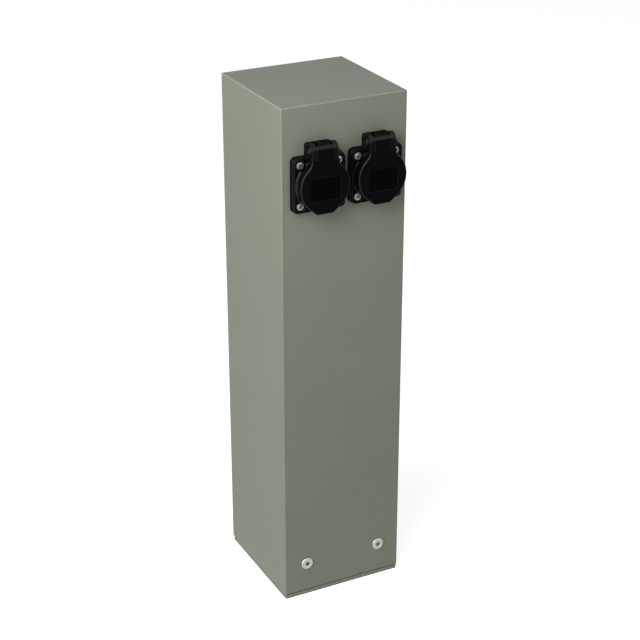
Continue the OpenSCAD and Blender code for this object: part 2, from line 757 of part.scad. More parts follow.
// Contact carrier, open to the rear, with the rear cover behind it
module cage_space(x, margin) {
    translate([x - cage_w / 2 - margin, cage_bottom - margin, carrier_back - past])
        cube([cage_w + 2 * margin, cage_top - cage_bottom + 2 * margin,
            contact_back + cage_l + margin - carrier_back + past]);
}
module cover_screw_places() {
    for (s = [-1, 1]) translate([s * cover_screw_span / 2, cover_screw_up, 0]) children();
}
module contact_carrier(side) {
    color(dark_plastic) at_outlet(side) difference() {
        translate([0, 0, carrier_back]) cylinder(d = carrier_d, h = carrier_l);
        for (s = [-1, 1]) {
            translate([s * pin_span / 2, 0, carrier_back - past]) {
                cylinder(d = contact_bore_d + 2 * contact_wall + 2 * seat_gap,
                    h = contact_front + 0.1 - carrier_back + past);
                cylinder(d = pin_hole_d, h = carrier_l + 2 * past);
            }
            cage_space(s * pin_span / 2, seat_gap);
        }
        translate([-cage_w / 2 - seat_gap, cage_bottom - seat_gap, carrier_back - past])
            cube([cage_w + 2 * seat_gap, cage_top - cage_bottom + 2 * seat_gap, carrier_l + 2 * past]);
        translate([-earth_w / 2 - seat_gap, -carrier_d, carrier_front - 1.7])
            cube([earth_w + 2 * seat_gap, 2 * carrier_d, 2]);
        for (x = [-pin_span / 2, 0, pin_span / 2])
            translate([x, cage_bottom + past, cage_hole_out]) rotate([90, 0, 0])
                cylinder(d = wire_d + 2 * hole_gap, h = carrier_d);
        translate([0, 0, carrier_back - past]) cover_screw_places()
            cylinder(d = cover_screw_d + 2 * hole_gap, h = carrier_l + 2 * past);
    }
}
module rear_cover(side) {
    color(dark_plastic) at_outlet(side) translate([0, 0, cover_back]) difference() {
        cylinder(d = carrier_d, h = cover_t);
        translate([0, 0, -past]) {
            cover_screw_places() cylinder(d = cover_screw_d + 2 * hole_gap, h = cover_t + 2 * past);
            for (x = [-pin_span / 2, 0, pin_span / 2]) translate([x, cage_screw_y, 0])
                cylinder(d = 5.8, h = cover_t + 2 * past);
        }
    }
}
module cover_screws(side) {
    reach = well_back + well_floor_t - 0.7 - cover_back;
    color(zinc) at_outlet(side) translate([0, 0, cover_back]) cover_screw_places()
        rotate([180, 0, 0]) pan_screw(cover_screw_d, 2 * cover_screw_d - 0.4, 2, reach);
}
// Terminal block with its conductor hole and the clamping screw's thread
module cage(x) {
    difference() {
        translate([x - cage_w / 2, cage_bottom, contact_back])
            cube([cage_w, cage_top - cage_bottom, cage_l]);
        cage_holes(x);
    }
}
module cage_holes(x) {
    translate([x, cage_bottom - past, cage_hole_out]) rotate([-90, 0, 0])
        cylinder(d = conductor_d, h = cage_top - cage_bottom);
    translate([x, cage_screw_y, contact_back - past])
        cylinder(d = cage_screw_d + 2 * thread_gap, h = cage_hole_out - contact_back + past);
}
module pin_contact(side, s) {
    x = s * pin_span / 2;
    length = contact_front - contact_back;
    color(brass) at_outlet(side) difference() {
        union() {
            translate([x, 0, contact_back]) cylinder(d = contact_bore_d + 2 * contact_wall, h = length);
            translate([x - cage_w / 2, cage_bottom, contact_back])
                cube([cage_w, cage_top - cage_bottom, cage_l]);
        }
        translate([x, 0, contact_back - past]) cylinder(d = contact_bore_d, h = length + 2 * past);
        translate([x - 0.3, 0, contact_back + cage_l + 1]) cube([0.6, 2 * contact_bore_d, length]);
        cage_holes(x);
    }
}
module earth_contact(side) {
    strap_out = carrier_front - 1.5;
    color(brass) at_outlet(side) {
        for (s = [0, 1]) mirror([0, s, 0]) along_x(earth_w) earth_prong();
        translate([-earth_w / 2, -earth_far - earth_t / 2, strap_out])
            cube([earth_w, 2 * earth_far + earth_t, earth_t]);
        translate([-earth_w / 2, cage_top - earth_t, contact_back + cage_l - 0.1])
            cube([earth_w, earth_t, strap_out - contact_back - cage_l + 0.2]);
        cage(0);
    }
}
// A prong's strip between its middle line's points, drawn as [out, off centre]
module earth_prong() {
    h = earth_t / 2;
    inner = [for (p = earth_line) p - [0, h]];
    outer = [for (i = [len(earth_line) - 1:-1:0]) earth_line[i] + [0, h]];
    polygon(concat(inner, outer));
}
module terminal_screws(side) {
    color(zinc) at_outlet(side) for (x = [-pin_span / 2, 0, pin_span / 2])
        translate([x, cage_screw_y, contact_back - 0.1]) rotate([180, 0, 0]) difference() {
            union() {
                cylinder(d = 5.2, h = 1.7);
                translate([0, 0, -2.2]) cylinder(d = cage_screw_d, h = 2.3);
            }
            translate([-3, -0.4, 0.9]) cube([6, 0.8, 1]);
        }
}
module flange_screws(side) {
    color(stainless) at_outlet(side) translate([0, 0, pocket_floor])
        four(flange_screw_span, flange_screw_span)
        pan_screw(flange_screw_d, flange_head_d, flange_head_h, pocket_floor - flange_screw_end);
}
module flange_nuts(side) {
    color(stainless) at_outlet(side) translate([0, 0, -sheet_t - flange_nut_h])
        four(flange_screw_span, flange_screw_span)
        nut(flange_nut_af, flange_screw_d + 2 * thread_gap, flange_nut_h);
}
module hinge_pin(side) {
    head_x = neck_w / 2 - eye_recess + hole_gap;
    color(stainless) at_outlet(side) {
        hinge_bar(pin_d, 2 * head_x + 0.2);
        for (s = [-1, 1]) hinge_bar(pin_head_d, pin_head_t, s * (head_x + pin_head_t / 2));
    }
}

// Lid: round cap with a neck up to the hinge and a finger tab at the bottom
plate_back = lid_front - 2.1;
groove_back = lid_front - 1.6;
module lid_disc() { translate([0, 0, lid_back]) cylinder(d = lid_d, h = lid_t); }
// Hollow of the round cap and the groove that holds the seal
module lid_hollow() {
    translate([0, 0, lid_back - past]) {
        cylinder(d = seal_in_d, h = plate_back - lid_back + past);
        difference() {
            cylinder(d = seal_in_d + 2 * seal_w + 0.2, h = groove_back - lid_back + past);
            translate([0, 0, -past]) cylinder(d = seal_in_d - 0.2, h = lid_t + 2 * past);
        }
    }
}
// Neck as wide as the hinge, with a hollow curve on each side into the round cap
neck_low = lid_d / 2 - 5.2;
neck_slope = 5;
module neck_outline() {
    half = neck_w / 2;
    reach = lid_d / 2 + neck_fillet_r;
    cx = half + neck_fillet_r;
    cy = sqrt(reach * reach - cx * cx);
    touch = [cx, cy] * lid_d / 2 / reach;
    translate([-half, neck_low]) square([neck_w, hinge_up - neck_low]);
    for (s = [0, 1]) mirror([s, 0]) difference() {
        polygon([[half - 1, neck_low], [half - 1, cy], [cx, cy], touch, touch - [2, 1]]);
        translate([cx, cy]) circle(neck_fillet_r);
    }
}
module neck() {
    intersection() {
        translate([0, 0, lid_back]) linear_extrude(lid_t) neck_outline();
        along_x(3 * neck_w) polygon([
            [lid_back, 0], [lid_front, 0], [lid_front, lid_d / 2],
            [hinge_out + knuckle_r, hinge_up - neck_slope],
            [hinge_out + knuckle_r, hinge_up], [lid_back, hinge_up]
        ]);
    }
}
module tab_outline() {
    low = lid_d / 2 + 0.8;
    r = 4;
    c = [tab_w / 2 - r / 2 - 0.5, r - low];
    turn = atan2(c[1], c[0]) + acos((lid_d / 2 - r) / norm(c));
    n = [cos(turn), sin(turn)];
    for (s = [0, 1]) mirror([s, 0]) {
        translate(c) circle(r);
        polygon([
            [-0.1, -low], [c[0], -low], c, c + r * n, lid_d / 2 * n,
            [c[0], -0.35 * lid_d], [-0.1, -0.35 * lid_d]
        ]);
    }
}
module tab() {
    translate([0, 0, lid_back]) linear_extrude(lid_t) tab_outline();
}

// Barrel outline as [out, up] from the axis: full at the front, less at the back, flat top
module barrel_outline() {
    translate([hinge_out, hinge_up]) intersection() {
        union() {
            circle(barrel_back_r);
            intersection() {
                circle(knuckle_r);
                translate([0, -knuckle_r]) square([knuckle_r, 2 * knuckle_r]);
            }
        }
        translate([-knuckle_r, -knuckle_r]) square([2 * knuckle_r, knuckle_r + barrel_top]);
    }
}
module lid(side) {
    color(black_plastic) at_outlet(side) difference() {
        union() {
            difference() {
                union() {
                    lid_disc();
                    neck();
                    tab();
                    for (s = [-1, 1]) hinge_bar(2 * knuckle_r, knuckle_t, s * (neck_w - knuckle_t) / 2);
                }
                hinge_bar(2 * swing_r, 2 * slot_half);
            }
            hinge_middle();
        }
        lid_hollow();
        hinge_bar(pin_d + 2 * run_gap, 2 * neck_w);
        for (s = [-1, 1]) hinge_bar(eye_recess_d, 2 * eye_recess, s * neck_w / 2);
        translate([0, -1.75, lid_front - panel_depth]) linear_extrude(past)
            rounded_rect(panel_w, panel_h, 1.2);
        // Room of the coil spring, open to the rear
        hinge_bar(2 * pocket_r, 2 * pocket_half);
        along_x(2 * pocket_half) translate([back_plate_out, hinge_up - pocket_r])
            square([hinge_depth, 2 * pocket_r]);
        // Window for the fixed leg's travel and groove for the moving leg
        along_x(window_right + pocket_half, (window_right - pocket_half) / 2)
            translate([back_plate_out, hinge_up - pocket_r])
                square([hinge_depth + window_front, pocket_r + knuckle_r]);
        translate([moving_leg_x - 0.8, hinge_up, hinge_out + spring_r - 0.8])
            cube([1.6, spring_r + 1, 1.5]);
    }
}
// Middle barrel and the neck's part between the two slots
module hinge_middle() {
    along_x(2 * barrel_half) barrel_outline();
    intersection() {
        union() {
            neck();
            lid_disc();
        }
        translate([-barrel_half, neck_low, lid_back - past])
            cube([2 * barrel_half, hinge_up - neck_low, lid_t + 2 * past]);
    }
}
module lid_seal(side) {
    color(rubber) at_outlet(side) translate([0, 0, lid_back - 0.1]) difference() {
        cylinder(d = seal_in_d + 2 * seal_w, h = seal_t);
        translate([0, 0, -past]) cylinder(d = seal_in_d, h = seal_t + 2 * past);
    }
}

// Torsion spring: the fixed leg runs back from the coil's lowest point, the moving
// leg upwards from its foremost point, and opening the lid winds the coil tighter
spring_curl = 360 * spring_turns + 90;
spring_steps = 8 * spring_turns + 2;
function spring_point(w) =
    let (x = fixed_leg_x + (moving_leg_x - fixed_leg_x) * w / spring_curl)
    [x, hinge_up + spring_r * sin(w - 90), hinge_out + spring_r * cos(w - 90)];
spring_path = concat(
    [for (back = [1, 0.5, 0.125]) spring_point(0) - [0, 0, back * fixed_leg_l]],
    [for (i = [0:spring_steps]) spring_point(spring_curl * i / spring_steps)],
    [spring_point(spring_curl) + [0, 0.8, 0], spring_point(spring_curl) + [0, spring_r + 0.6, 0]]
);
// Least distance between two turns' surfaces
spring_least_gap = min([
    for (i = [0:len(spring_path) - 1], k = [i + 5:len(spring_path) - 1])
        norm(spring_path[i] - spring_path[k]) - spring_wire
]);
echo(spring_least_gap = spring_least_gap);
module lid_spring(side) {
    color(stainless) at_outlet(side) tube(spring_path, spring_wire, 6);
}
// The left outlet's pieces, then the right outlet's
module gasket_left() { gasket("left"); }
module outlet_housing_left() { outlet_housing("left"); }
module contact_carrier_left() { contact_carrier("left"); }
module rear_cover_left() { rear_cover("left"); }
module cover_screws_left() { cover_screws("left"); }
module line_contact_left() { pin_contact("left", -1); }
module neutral_contact_left() { pin_contact("left", 1); }
module earth_contact_left() { earth_contact("left"); }
module terminal_screws_left() { terminal_screws("left"); }
module flange_screws_left() { flange_screws("left"); }
module flange_nuts_left() { flange_nuts("left"); }
module hinge_pin_left() { hinge_pin("left"); }
module lid_left() { lid("left"); }
module lid_seal_left() { lid_seal("left"); }
module lid_spring_left() { lid_spring("left"); }
module gasket_right() { gasket("right"); }
module outlet_housing_right() { outlet_housing("right"); }
module contact_carrier_right() { contact_carrier("right"); }
module rear_cover_right() { rear_cover("right"); }
module cover_screws_right() { cover_screws("right"); }
module line_contact_right() { pin_contact("right", -1); }
module neutral_contact_right() { pin_contact("right", 1); }
module earth_contact_right() { earth_contact("right"); }
module terminal_screws_right() { terminal_screws("right"); }
module flange_screws_right() { flange_screws("right"); }
module flange_nuts_right() { flange_nuts("right"); }
module hinge_pin_right() { hinge_pin("right"); }
module lid_right() { lid("right"); }
module lid_seal_right() { lid_seal("right"); }
module lid_spring_right() { lid_spring("right"); }

post_body();
base_plate();
base_bracket_front();
base_bracket_rear();
base_screws();
base_nuts();
cable_grommet();
earth_stud();
earth_washer();
earth_nut();
earth_lug();
equipment_plate();
equipment_plate_screws();
terminal_strip();
terminal_sleeves();
terminal_clamp_screws();
terminal_fixing_screws();
cable_clamp();
cable_clamp_screws();
wires_brown();
wires_blue();
wires_earth();
gasket_left();
outlet_housing_left();
contact_carrier_left();
rear_cover_left();
cover_screws_left();
line_contact_left();
neutral_contact_left();
earth_contact_left();
terminal_screws_left();
flange_screws_left();
flange_nuts_left();
hinge_pin_left();
lid_left();
lid_seal_left();
lid_spring_left();
gasket_right();
outlet_housing_right();
contact_carrier_right();
rear_cover_right();
cover_screws_right();
line_contact_right();
neutral_contact_right();
earth_contact_right();
terminal_screws_right();
flange_screws_right();
flange_nuts_right();
hinge_pin_right();
lid_right();
lid_seal_right();
lid_spring_right();
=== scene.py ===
"""Looks of the garden socket post: a sheet-metal post with two outlets under sprung lids.

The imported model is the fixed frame. Its exact solids keep their shapes and get their finishes
here. Rounded, turned and wound pieces are worked out as surfaces and stand for their solids.
"""

import json
import math

import bmesh
import bpy
import numpy as np
from bpy.props import FloatProperty, FloatVectorProperty, PointerProperty
from bpy.types import Operator, Panel, PropertyGroup
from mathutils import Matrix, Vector


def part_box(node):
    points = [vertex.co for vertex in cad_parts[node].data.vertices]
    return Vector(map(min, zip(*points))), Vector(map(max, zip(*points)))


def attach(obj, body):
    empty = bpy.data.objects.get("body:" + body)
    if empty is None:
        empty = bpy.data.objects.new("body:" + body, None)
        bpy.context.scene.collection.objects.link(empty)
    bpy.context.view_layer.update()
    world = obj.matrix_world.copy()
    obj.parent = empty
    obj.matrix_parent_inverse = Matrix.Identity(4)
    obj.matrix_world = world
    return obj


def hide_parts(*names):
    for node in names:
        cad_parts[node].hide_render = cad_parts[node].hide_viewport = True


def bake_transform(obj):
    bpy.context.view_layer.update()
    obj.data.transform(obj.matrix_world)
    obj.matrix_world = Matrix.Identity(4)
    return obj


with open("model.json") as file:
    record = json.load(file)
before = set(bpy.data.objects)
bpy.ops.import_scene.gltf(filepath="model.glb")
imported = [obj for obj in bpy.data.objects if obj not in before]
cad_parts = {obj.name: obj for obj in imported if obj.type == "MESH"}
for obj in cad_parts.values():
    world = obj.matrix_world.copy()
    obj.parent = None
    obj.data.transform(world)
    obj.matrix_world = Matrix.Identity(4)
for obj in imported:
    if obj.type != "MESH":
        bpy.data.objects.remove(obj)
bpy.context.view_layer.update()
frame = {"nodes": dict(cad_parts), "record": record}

bl_info = {
    "name": "Garden socket post",
    "version": (1, 0, 0),
    "blender": (4, 5, 0),
    "location": "3D View > Sidebar > Socket post",
    "description": "Builds the finishes and fine pieces of a garden socket post",
    "category": "Object",
}

MM = 0.001
SIDES = ("left", "right")
WHITE = (1.0, 1.0, 1.0, 1.0)


# Places that the solids give, in millimetres
def corners(node):
    """Lowest and highest corner of a solid, in millimetres."""
    return np.array(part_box(node)) / MM


def outlet_origin(side):
    """Middle of the gasket on the wall's outer face, where an outlet's own directions start."""
    low, high = corners("gasket_" + side)
    return np.array([(low[0] + high[0]) / 2, high[1], (low[2] + high[2]) / 2])


ORIGIN = {side: outlet_origin(side) for side in SIDES}
GASKET_W, GASKET_T, _ = np.diff(corners("gasket_left"), axis=0)[0]
# The hinge axis: upwards and outwards from the outlet's origin
HINGE = corners("hinge_pin_left").mean(axis=0) - ORIGIN["left"]
HINGE_UP, HINGE_OUT = HINGE[2], -HINGE[1]
# The lid's front face, outwards from the outlet's origin, and the shallow panel sunk into it
LID_OUT = 18.2
PANEL_HALF_W, PANEL_HALF_H, PANEL_UP, PANEL_DEPTH = 15.0, 10.5, -1.75, 0.4


def from_outlet(side, points):
    """Outlet's own (across, up, out) in millimetres to the frame's metres: (x, -out, up) moved."""
    across, up, out = np.moveaxis(np.asarray(points, float), -1, 0)
    return (np.stack([across, -out, up], axis=-1) + ORIGIN[side]) * MM


# Sizes and colours that a user would change
class OutletLooks(PropertyGroup):
    """Edges, gasket, spring and colours of the outlets"""
    edge_radius: FloatProperty(
        name="Edge radius", description="Rounding of the moulded plastic's edges",
        default=0.35 * MM, min=0.05 * MM, max=0.6 * MM, unit="LENGTH")
    cap_radius: FloatProperty(
        name="Lid radius", description="Rounding of the lid's front outline",
        default=0.9 * MM, min=0.6 * MM, max=1.2 * MM, unit="LENGTH")
    gasket_bulge: FloatProperty(
        name="Gasket bulge", description="How far the pressed gasket swells past its outline",
        default=0.15 * MM, min=0, max=0.4 * MM, unit="LENGTH")
    spring_wire: FloatProperty(
        name="Spring wire", description="Diameter of the lid spring's wire",
        default=0.8 * MM, min=0.5 * MM, max=0.85 * MM, unit="LENGTH")
    spring_turns: FloatProperty(
        name="Spring turns", description="Full turns of the lid spring's coil",
        default=8, min=4, max=9)
    plastic_colour: FloatVectorProperty(
        name="Plastic", description="Colour of the outlets' moulded plastic",
        default=(0.0028, 0.0028, 0.003), subtype="COLOR", min=0, max=1)
    rubber_colour: FloatVectorProperty(
        name="Rubber", description="Colour of gaskets, seals and grommet",
        default=(0.004, 0.004, 0.0043), subtype="COLOR", min=0, max=1)


class PostLooks(PropertyGroup):
    """Coat and screws of the post"""
    coat_colour: FloatVectorProperty(
        name="Powder coat", description="Colour of the post's powder coat",
        default=(0.2155, 0.242, 0.188), subtype="COLOR", min=0, max=1)
    coat_grain: FloatProperty(
        name="Coat grain", description="Size of the powder coat's orange-peel waves",
        default=1.3 * MM, min=0.3 * MM, max=4 * MM, unit="LENGTH")
    bolt_bevel: FloatProperty(
        name="Base screw bevel", description="Bevel of the base screws' heads",
        default=0.5 * MM, min=0.1 * MM, max=0.8 * MM, unit="LENGTH")


class StageLooks(PropertyGroup):
    """Floor, lights and lens"""
    floor_colour: FloatVectorProperty(
        name="Floor", description="Colour of the floor",
        default=(0.86, 0.86, 0.86), subtype="COLOR", min=0, max=1)
    sky_level: FloatProperty(
        name="Surroundings", description="Light from all round the object",
        default=0.14, min=0, max=2)
    key_power: FloatProperty(
        name="Left light", description="Power of the large soft light on the left",
        default=50, min=0, unit="POWER")
    front_power: FloatProperty(
        name="Front light", description="Power of the soft light at the front",
        default=1.7, min=0, unit="POWER")
    crown_power: FloatProperty(
        name="Crown light", description="Power of the small soft light before the upper end",
        default=2.0, min=0, unit="POWER")
    top_power: FloatProperty(
        name="Top light", description="Power of the soft light above",
        default=0.3, min=0, unit="POWER")
    lens: FloatProperty(
        name="Lens", description="The camera's focal length", default=92.14, min=20, unit="CAMERA")


# Shader maths
class Reading:
    """A shader socket that can be added, subtracted and multiplied; each step adds a Math node."""

    def __init__(self, finish, socket):
        self.finish = finish
        self.socket = socket

    def math(self, operation, *values):
        return self.finish.node("ShaderNodeMath", {"operation": operation}, dict(enumerate(values)))

    def __add__(self, other):
        return self.math("ADD", self, other)

    __radd__ = __add__

    def __sub__(self, other):
        return self.math("SUBTRACT", self, other)

    def __rsub__(self, other):
        return self.math("SUBTRACT", other, self)

    def __mul__(self, other):
        return self.math("MULTIPLY", self, other)

    __rmul__ = __mul__

    def __abs__(self):
        return self.math("ABSOLUTE", self)

    def between(self, low, high, at_low=0.0, at_high=1.0):
        """Smooth step: at_low up to low, at_high from high on."""
        return self.finish.node(
            "ShaderNodeMapRange", {"interpolation_type": "SMOOTHSTEP"},
            {"Value": self, "From Min": low, "From Max": high, "To Min": at_low, "To Max": at_high})

    def past(self, edge, blur):
        """0 short of an edge in millimetres, 1 past it; a negative blur turns this round."""
        return self.between((edge - blur) * MM, (edge + blur) * MM)


class Finish:
    """A material under construction, or one of the worlds, with one method that adds any node."""

    def __init__(self, name, kind="materials"):
        self.made = getattr(bpy.data, kind).new(name)
        self.made.use_nodes = True
        self.tree = self.made.node_tree
        self.tree.nodes.clear()
        self.place = self.node("ShaderNodeTexCoord", output="Object")

    def node(self, kind, settings=None, inputs=None, output=0):
        """Adds a node of a type, with its settings and with values or links for its inputs."""
        node = self.tree.nodes.new(kind)
        for key, value in (settings or {}).items():
            setattr(node, key, value)
        for key, value in (inputs or {}).items():
            if isinstance(value, Reading):
                self.tree.links.new(value.socket, node.inputs[key])
            else:
                node.inputs[key].default_value = value
        return Reading(self, node.outputs[output]) if len(node.outputs) else None

    def noise(self, size, detail=2.0, stretch=(1, 1, 1), roughness=0.5):
        """Cloudy pattern of about that size in millimetres; stretch squeezes it along an axis."""
        place = self.node("ShaderNodeMapping", {}, {"Vector": self.place, "Scale": stretch})
        return self.node("ShaderNodeTexNoise", {"noise_dimensions": "3D"}, {
            "Vector": place, "Scale": 1 / (size * MM), "Detail": detail, "Roughness": roughness})

    def axis(self, name):
        """One coordinate of the shaded point, in metres."""
        return self.node("ShaderNodeSeparateXYZ", {}, {0: self.place}, name)

    def ray(self, kind):
        """1 on rays of that kind: Camera, Glossy or Transmission."""
        return self.node("ShaderNodeLightPath", output="Is %s Ray" % kind)

    def tint(self, factor, first, second):
        """Colour between two colours."""
        return self.node("ShaderNodeMix", {"data_type": "RGBA"}, {
            0: factor, 6: self.colour(first), 7: self.colour(second)}, 2)

    @staticmethod
    def colour(value):
        """A colour that an input takes: a reading, or three numbers made opaque."""
        return value if isinstance(value, Reading) else (*value[:3], 1.0)

    def edges(self, radius, low=0.02, high=0.22):
        """Near 1 on the edges: how far the normal turns within the radius, in millimetres."""
        soft = self.node("ShaderNodeBevel", {"samples": 4}, {"Radius": radius * MM})
        flat = self.node("ShaderNodeNewGeometry", output="Normal")
        same = self.node(
            "ShaderNodeVectorMath", {"operation": "DOT_PRODUCT"}, {0: soft, 1: flat}, "Value")
        return (1 - same).between(low, high)

    def bump(self, height, depth, strength=1.0, over=None):
        """Relief whose height runs from 0 to depth millimetres."""
        inputs = {"Height": height, "Distance": depth * MM, "Strength": strength}
        if over is not None:
            inputs["Normal"] = over
        return self.node("ShaderNodeBump", {}, inputs)

    def done(self, **inputs):
        """Closes the material with one shader that takes the given inputs."""
        names = {
            key.replace("_", " ").title().replace("Ior", "IOR"): value
            for key, value in inputs.items()}
        names["Base Color"] = self.colour(names["Base Color"])
        shader = self.node("ShaderNodeBsdfPrincipled", {}, names)
        self.node("ShaderNodeOutputMaterial", {"target": "ALL"}, {"Surface": shader})
        return self.made


def shade(colour, level):
    """A colour made lighter or darker."""
    return tuple(min(1.0, c * level) for c in colour[:3])


# Finishes
def powder_coat(looks):
    """Baked sage powder: fine orange peel, faint clouds, a painted highlight along the folds that is
    paler still where they are rubbed, and a dusty foot.
    """
    f = Finish("powder_coat")
    coat = tuple(looks.post.coat_colour)
    clouds = f.noise(70, 3)
    speck = f.noise(0.9, 3, roughness=0.7)
    # The folds: within the sheet's outer radius of two faces at once, faint on the upright ones
    fold_r, blur, upright = 1.0, 0.2, 0.12
    x, y, z = (
        abs(f.axis(name)).past(side - fold_r, blur)
        for name, side in zip("XYZ", corners("post_body")[1]))
    fold = x * y * upright + y * z + x * z
    rub_and_highlight = fold * f.noise(5, 4).between(0.42, 0.62)
    dust_height, dust_share = 60 * MM, 0.08
    dust = f.axis("Z").between(0.0, dust_height, 1.0, 0.0)
    dust = dust * f.noise(14, 4).between(0.35, 0.7) * dust_share
    base = f.tint(clouds.between(0.3, 0.7), shade(coat, 0.975), shade(coat, 1.025))
    base = f.tint(speck.between(0.38, 0.62) * 0.5, base, shade(coat, 0.93))
    # Painted highlight: the folds lighter, and lighter still in the rubbed, worn patches
    base = f.tint(fold * 0.5, base, shade(coat, 1.35))
    base = f.tint(rub_and_highlight * 0.4, base, shade(coat, 1.5))
    base = f.tint(dust, base, (0.33, 0.31, 0.27))
    grain = looks.post.coat_grain / MM
    peel = f.bump(f.noise(grain, 2), 0.05, 0.35)
    peel = f.bump(f.noise(0.3 * grain, 2), 0.012, 0.35, peel)
    return f.done(
        base_color=base, roughness=0.45 + clouds * 0.08 - rub_and_highlight * 0.08, normal=peel,
        specular_ior_level=0.4, coat_weight=fold * 0.5, coat_roughness=0.3)


def moulded(name, colour, roughness, grain, depth, edge_level=1.9):
    """Moulded plastic: eroded grain, faint flow clouds and edges polished by handling, lightened in
    patches as a painted highlight.
    """
    f = Finish(name)
    clouds = f.noise(22, 3)
    polished = f.edges(0.5)
    rub_and_highlight = polished * f.noise(2.2, 4).between(0.4, 0.62)
    base = f.tint(clouds.between(0.3, 0.7), shade(colour, 0.92), shade(colour, 1.08))
    # Painted highlight: the polished edges lighter in patches
    base = f.tint(rub_and_highlight * 0.6, base, shade(colour, edge_level))
    relief = f.bump(f.noise(grain, 3, roughness=0.6), depth, 0.4)
    return f.done(
        base_color=base, roughness=roughness + clouds * 0.07 - polished * 0.06,
        normal=relief, specular_ior_level=0.5)


def blackened():
    """Blackened steel of the hinge pins, worn a little brighter on its rims."""
    f = Finish("black_steel")
    worn = f.edges(0.25) * f.noise(0.8, 3).between(0.4, 0.6)
    base = f.tint(f.noise(1.5, 3), (0.012, 0.012, 0.013), (0.02, 0.02, 0.021))
    base = f.tint(worn * 0.7, base, (0.16, 0.155, 0.15))
    relief = f.bump(f.noise(0.3, 2), 0.01, 0.4)
    return f.done(
        base_color=base, metallic=worn * 0.8, roughness=0.42 - worn * 0.1, normal=relief,
        specular_ior_level=0.2)


def outlet_plastic(looks, rim=False):
    """Black outlet plastic: fine eroded grain, smooth and darker in the lid's panel; the rim finish is
    for rounded edges and rolled forms, which handling has polished, and its colour is lighter in
    patches as a painted highlight."""
    f = Finish("black_plastic_rim" if rim else "black_plastic")
    colour = tuple(looks.outlet.plastic_colour)
    clouds = f.noise(22, 3)
    rub_and_highlight = f.noise(2.2, 4).between(0.45, 0.65)
    hair = f.noise(2.5, 3, (1, 1, 14)).between(0.66, 0.74)
    base = f.tint(clouds.between(0.3, 0.7), shade(colour, 0.92), shade(colour, 1.08))
    relief = f.bump(f.noise(0.32, 3, roughness=0.6), 0.02, 0.2 if rim else 0.4)
    if rim:
        # Painted highlight: the rim's colour lighter in patches
        base = f.tint(rub_and_highlight * 0.6, base, shade(colour, 2.2))
        rough = 0.25 + clouds * 0.06 + hair * 0.05
        return f.done(base_color=base, roughness=rough, normal=relief, specular_ior_level=0.26)
    across, wall, up = ORIGIN["left"]
    panel = (
        abs(abs(f.axis("X")) - abs(across) * MM).past(PANEL_HALF_W, -0.1)
        * abs(f.axis("Z") - (up + PANEL_UP) * MM).past(PANEL_HALF_H, -0.1)
        * f.axis("Y").past(wall - LID_OUT, -0.2))
    base = f.tint(panel, base, shade(colour, 0.3))
    rough = 0.4 + clouds * 0.07 + hair * 0.05 - panel * 0.16
    return f.done(base_color=base, roughness=rough, normal=relief, specular_ior_level=0.022)


def soft_rubber(looks):
    """Matt rubber with a dry bloom and fine pores."""
    f = Finish("rubber")
    colour = tuple(looks.outlet.rubber_colour)
    bloom = f.noise(4, 4).between(0.4, 0.75)
    base = f.tint(bloom * 0.6, colour, shade(colour, 1.8))
    relief = f.bump(f.noise(0.25, 3), 0.02, 0.5)
    return f.done(
        base_color=base, roughness=0.62 + bloom * 0.15, normal=relief, specular_ior_level=0.12)


def metal(name, colour, roughness, clouded, brush=(1, 1, 1), stain=(0.2, 0.17, 0.13),
          stain_share=0.15):
    """Metal: brushed or turned lines, faint clouds, a painted highlight on the edges, tarnish, and
    painted shade where the piece's points say so."""
    f = Finish(name)
    clouds = f.noise(9, 3)
    edge_highlight = f.edges(0.35)
    lines = f.noise(0.25, 2, brush)
    tarnish = f.noise(3.5, 5, roughness=0.65).between(0.55, 0.75) * stain_share
    grime = f.node("ShaderNodeAttribute", {"attribute_name": "grime"}, output="Fac")
    base = f.tint(clouds.between(0.3, 0.7) * (0.25 + clouded), colour, shade(colour, 0.8))
    # Painted highlight on the edges
    base = f.tint(edge_highlight * 0.5, base, shade(colour, 1.25))
    base = f.tint(tarnish, base, stain)
    # Painted shade: dark where the piece's points give it, in screw recesses and towards their rims
    base = f.tint(grime * (0.75 + clouds * 0.25), base, (0.05, 0.045, 0.04))
    rough = roughness + lines * 0.1 + tarnish * 0.8 + clouds * clouded * 0.3 + grime * 0.2
    relief = f.bump(lines, 0.01, 0.3)
    return f.done(
        base_color=base, metallic=1 - tarnish * 0.6 - grime * 0.5, roughness=rough, normal=relief)


def spangled_zinc():
    """Galvanised steel: flat crystal patches of slightly different tone."""
    f = Finish("zinc_steel")
    patch = f.node("ShaderNodeTexVoronoi", {"feature": "F1"}, {
        "Vector": f.place, "Scale": 1 / (3.2 * MM), "Randomness": 1.0}, "Color")
    tone = f.node("ShaderNodeSeparateColor", {}, {0: patch}, 0)
    dull = f.noise(6, 4).between(0.45, 0.7)
    edge_highlight = f.edges(0.35)
    base = f.tint(tone, (0.40, 0.41, 0.42), (0.56, 0.57, 0.58))
    base = f.tint(dull * 0.4, base, (0.34, 0.345, 0.35))
    # Painted highlight on the edges
    base = f.tint(edge_highlight * 0.5, base, (0.75, 0.75, 0.75))
    relief = f.bump(f.noise(0.5, 3), 0.01, 0.4)
    return f.done(
        base_color=base, metallic=0.92 - dull * 0.2, roughness=0.34 + tone * 0.12 + dull * 0.1,
        normal=relief)


def insulation(name, colour, second=None):
    """Wire insulation: smooth, faintly waved; a second colour runs in two stripes along it."""
    f = Finish(name)
    clouds = f.noise(8, 3)
    base = f.tint(clouds.between(0.3, 0.7), shade(colour, 0.93), shade(colour, 1.06))
    if second:
        stripe = abs(f.node("ShaderNodeAttribute", {"attribute_name": "turn"}, output="Fac"))
        base = f.tint(stripe.between(0.66, 0.74), base, second)
    relief = f.bump(f.noise(1.5, 2), 0.02, 0.3)
    return f.done(
        base_color=base, roughness=0.38 + clouds * 0.08, normal=relief, specular_ior_level=0.5)


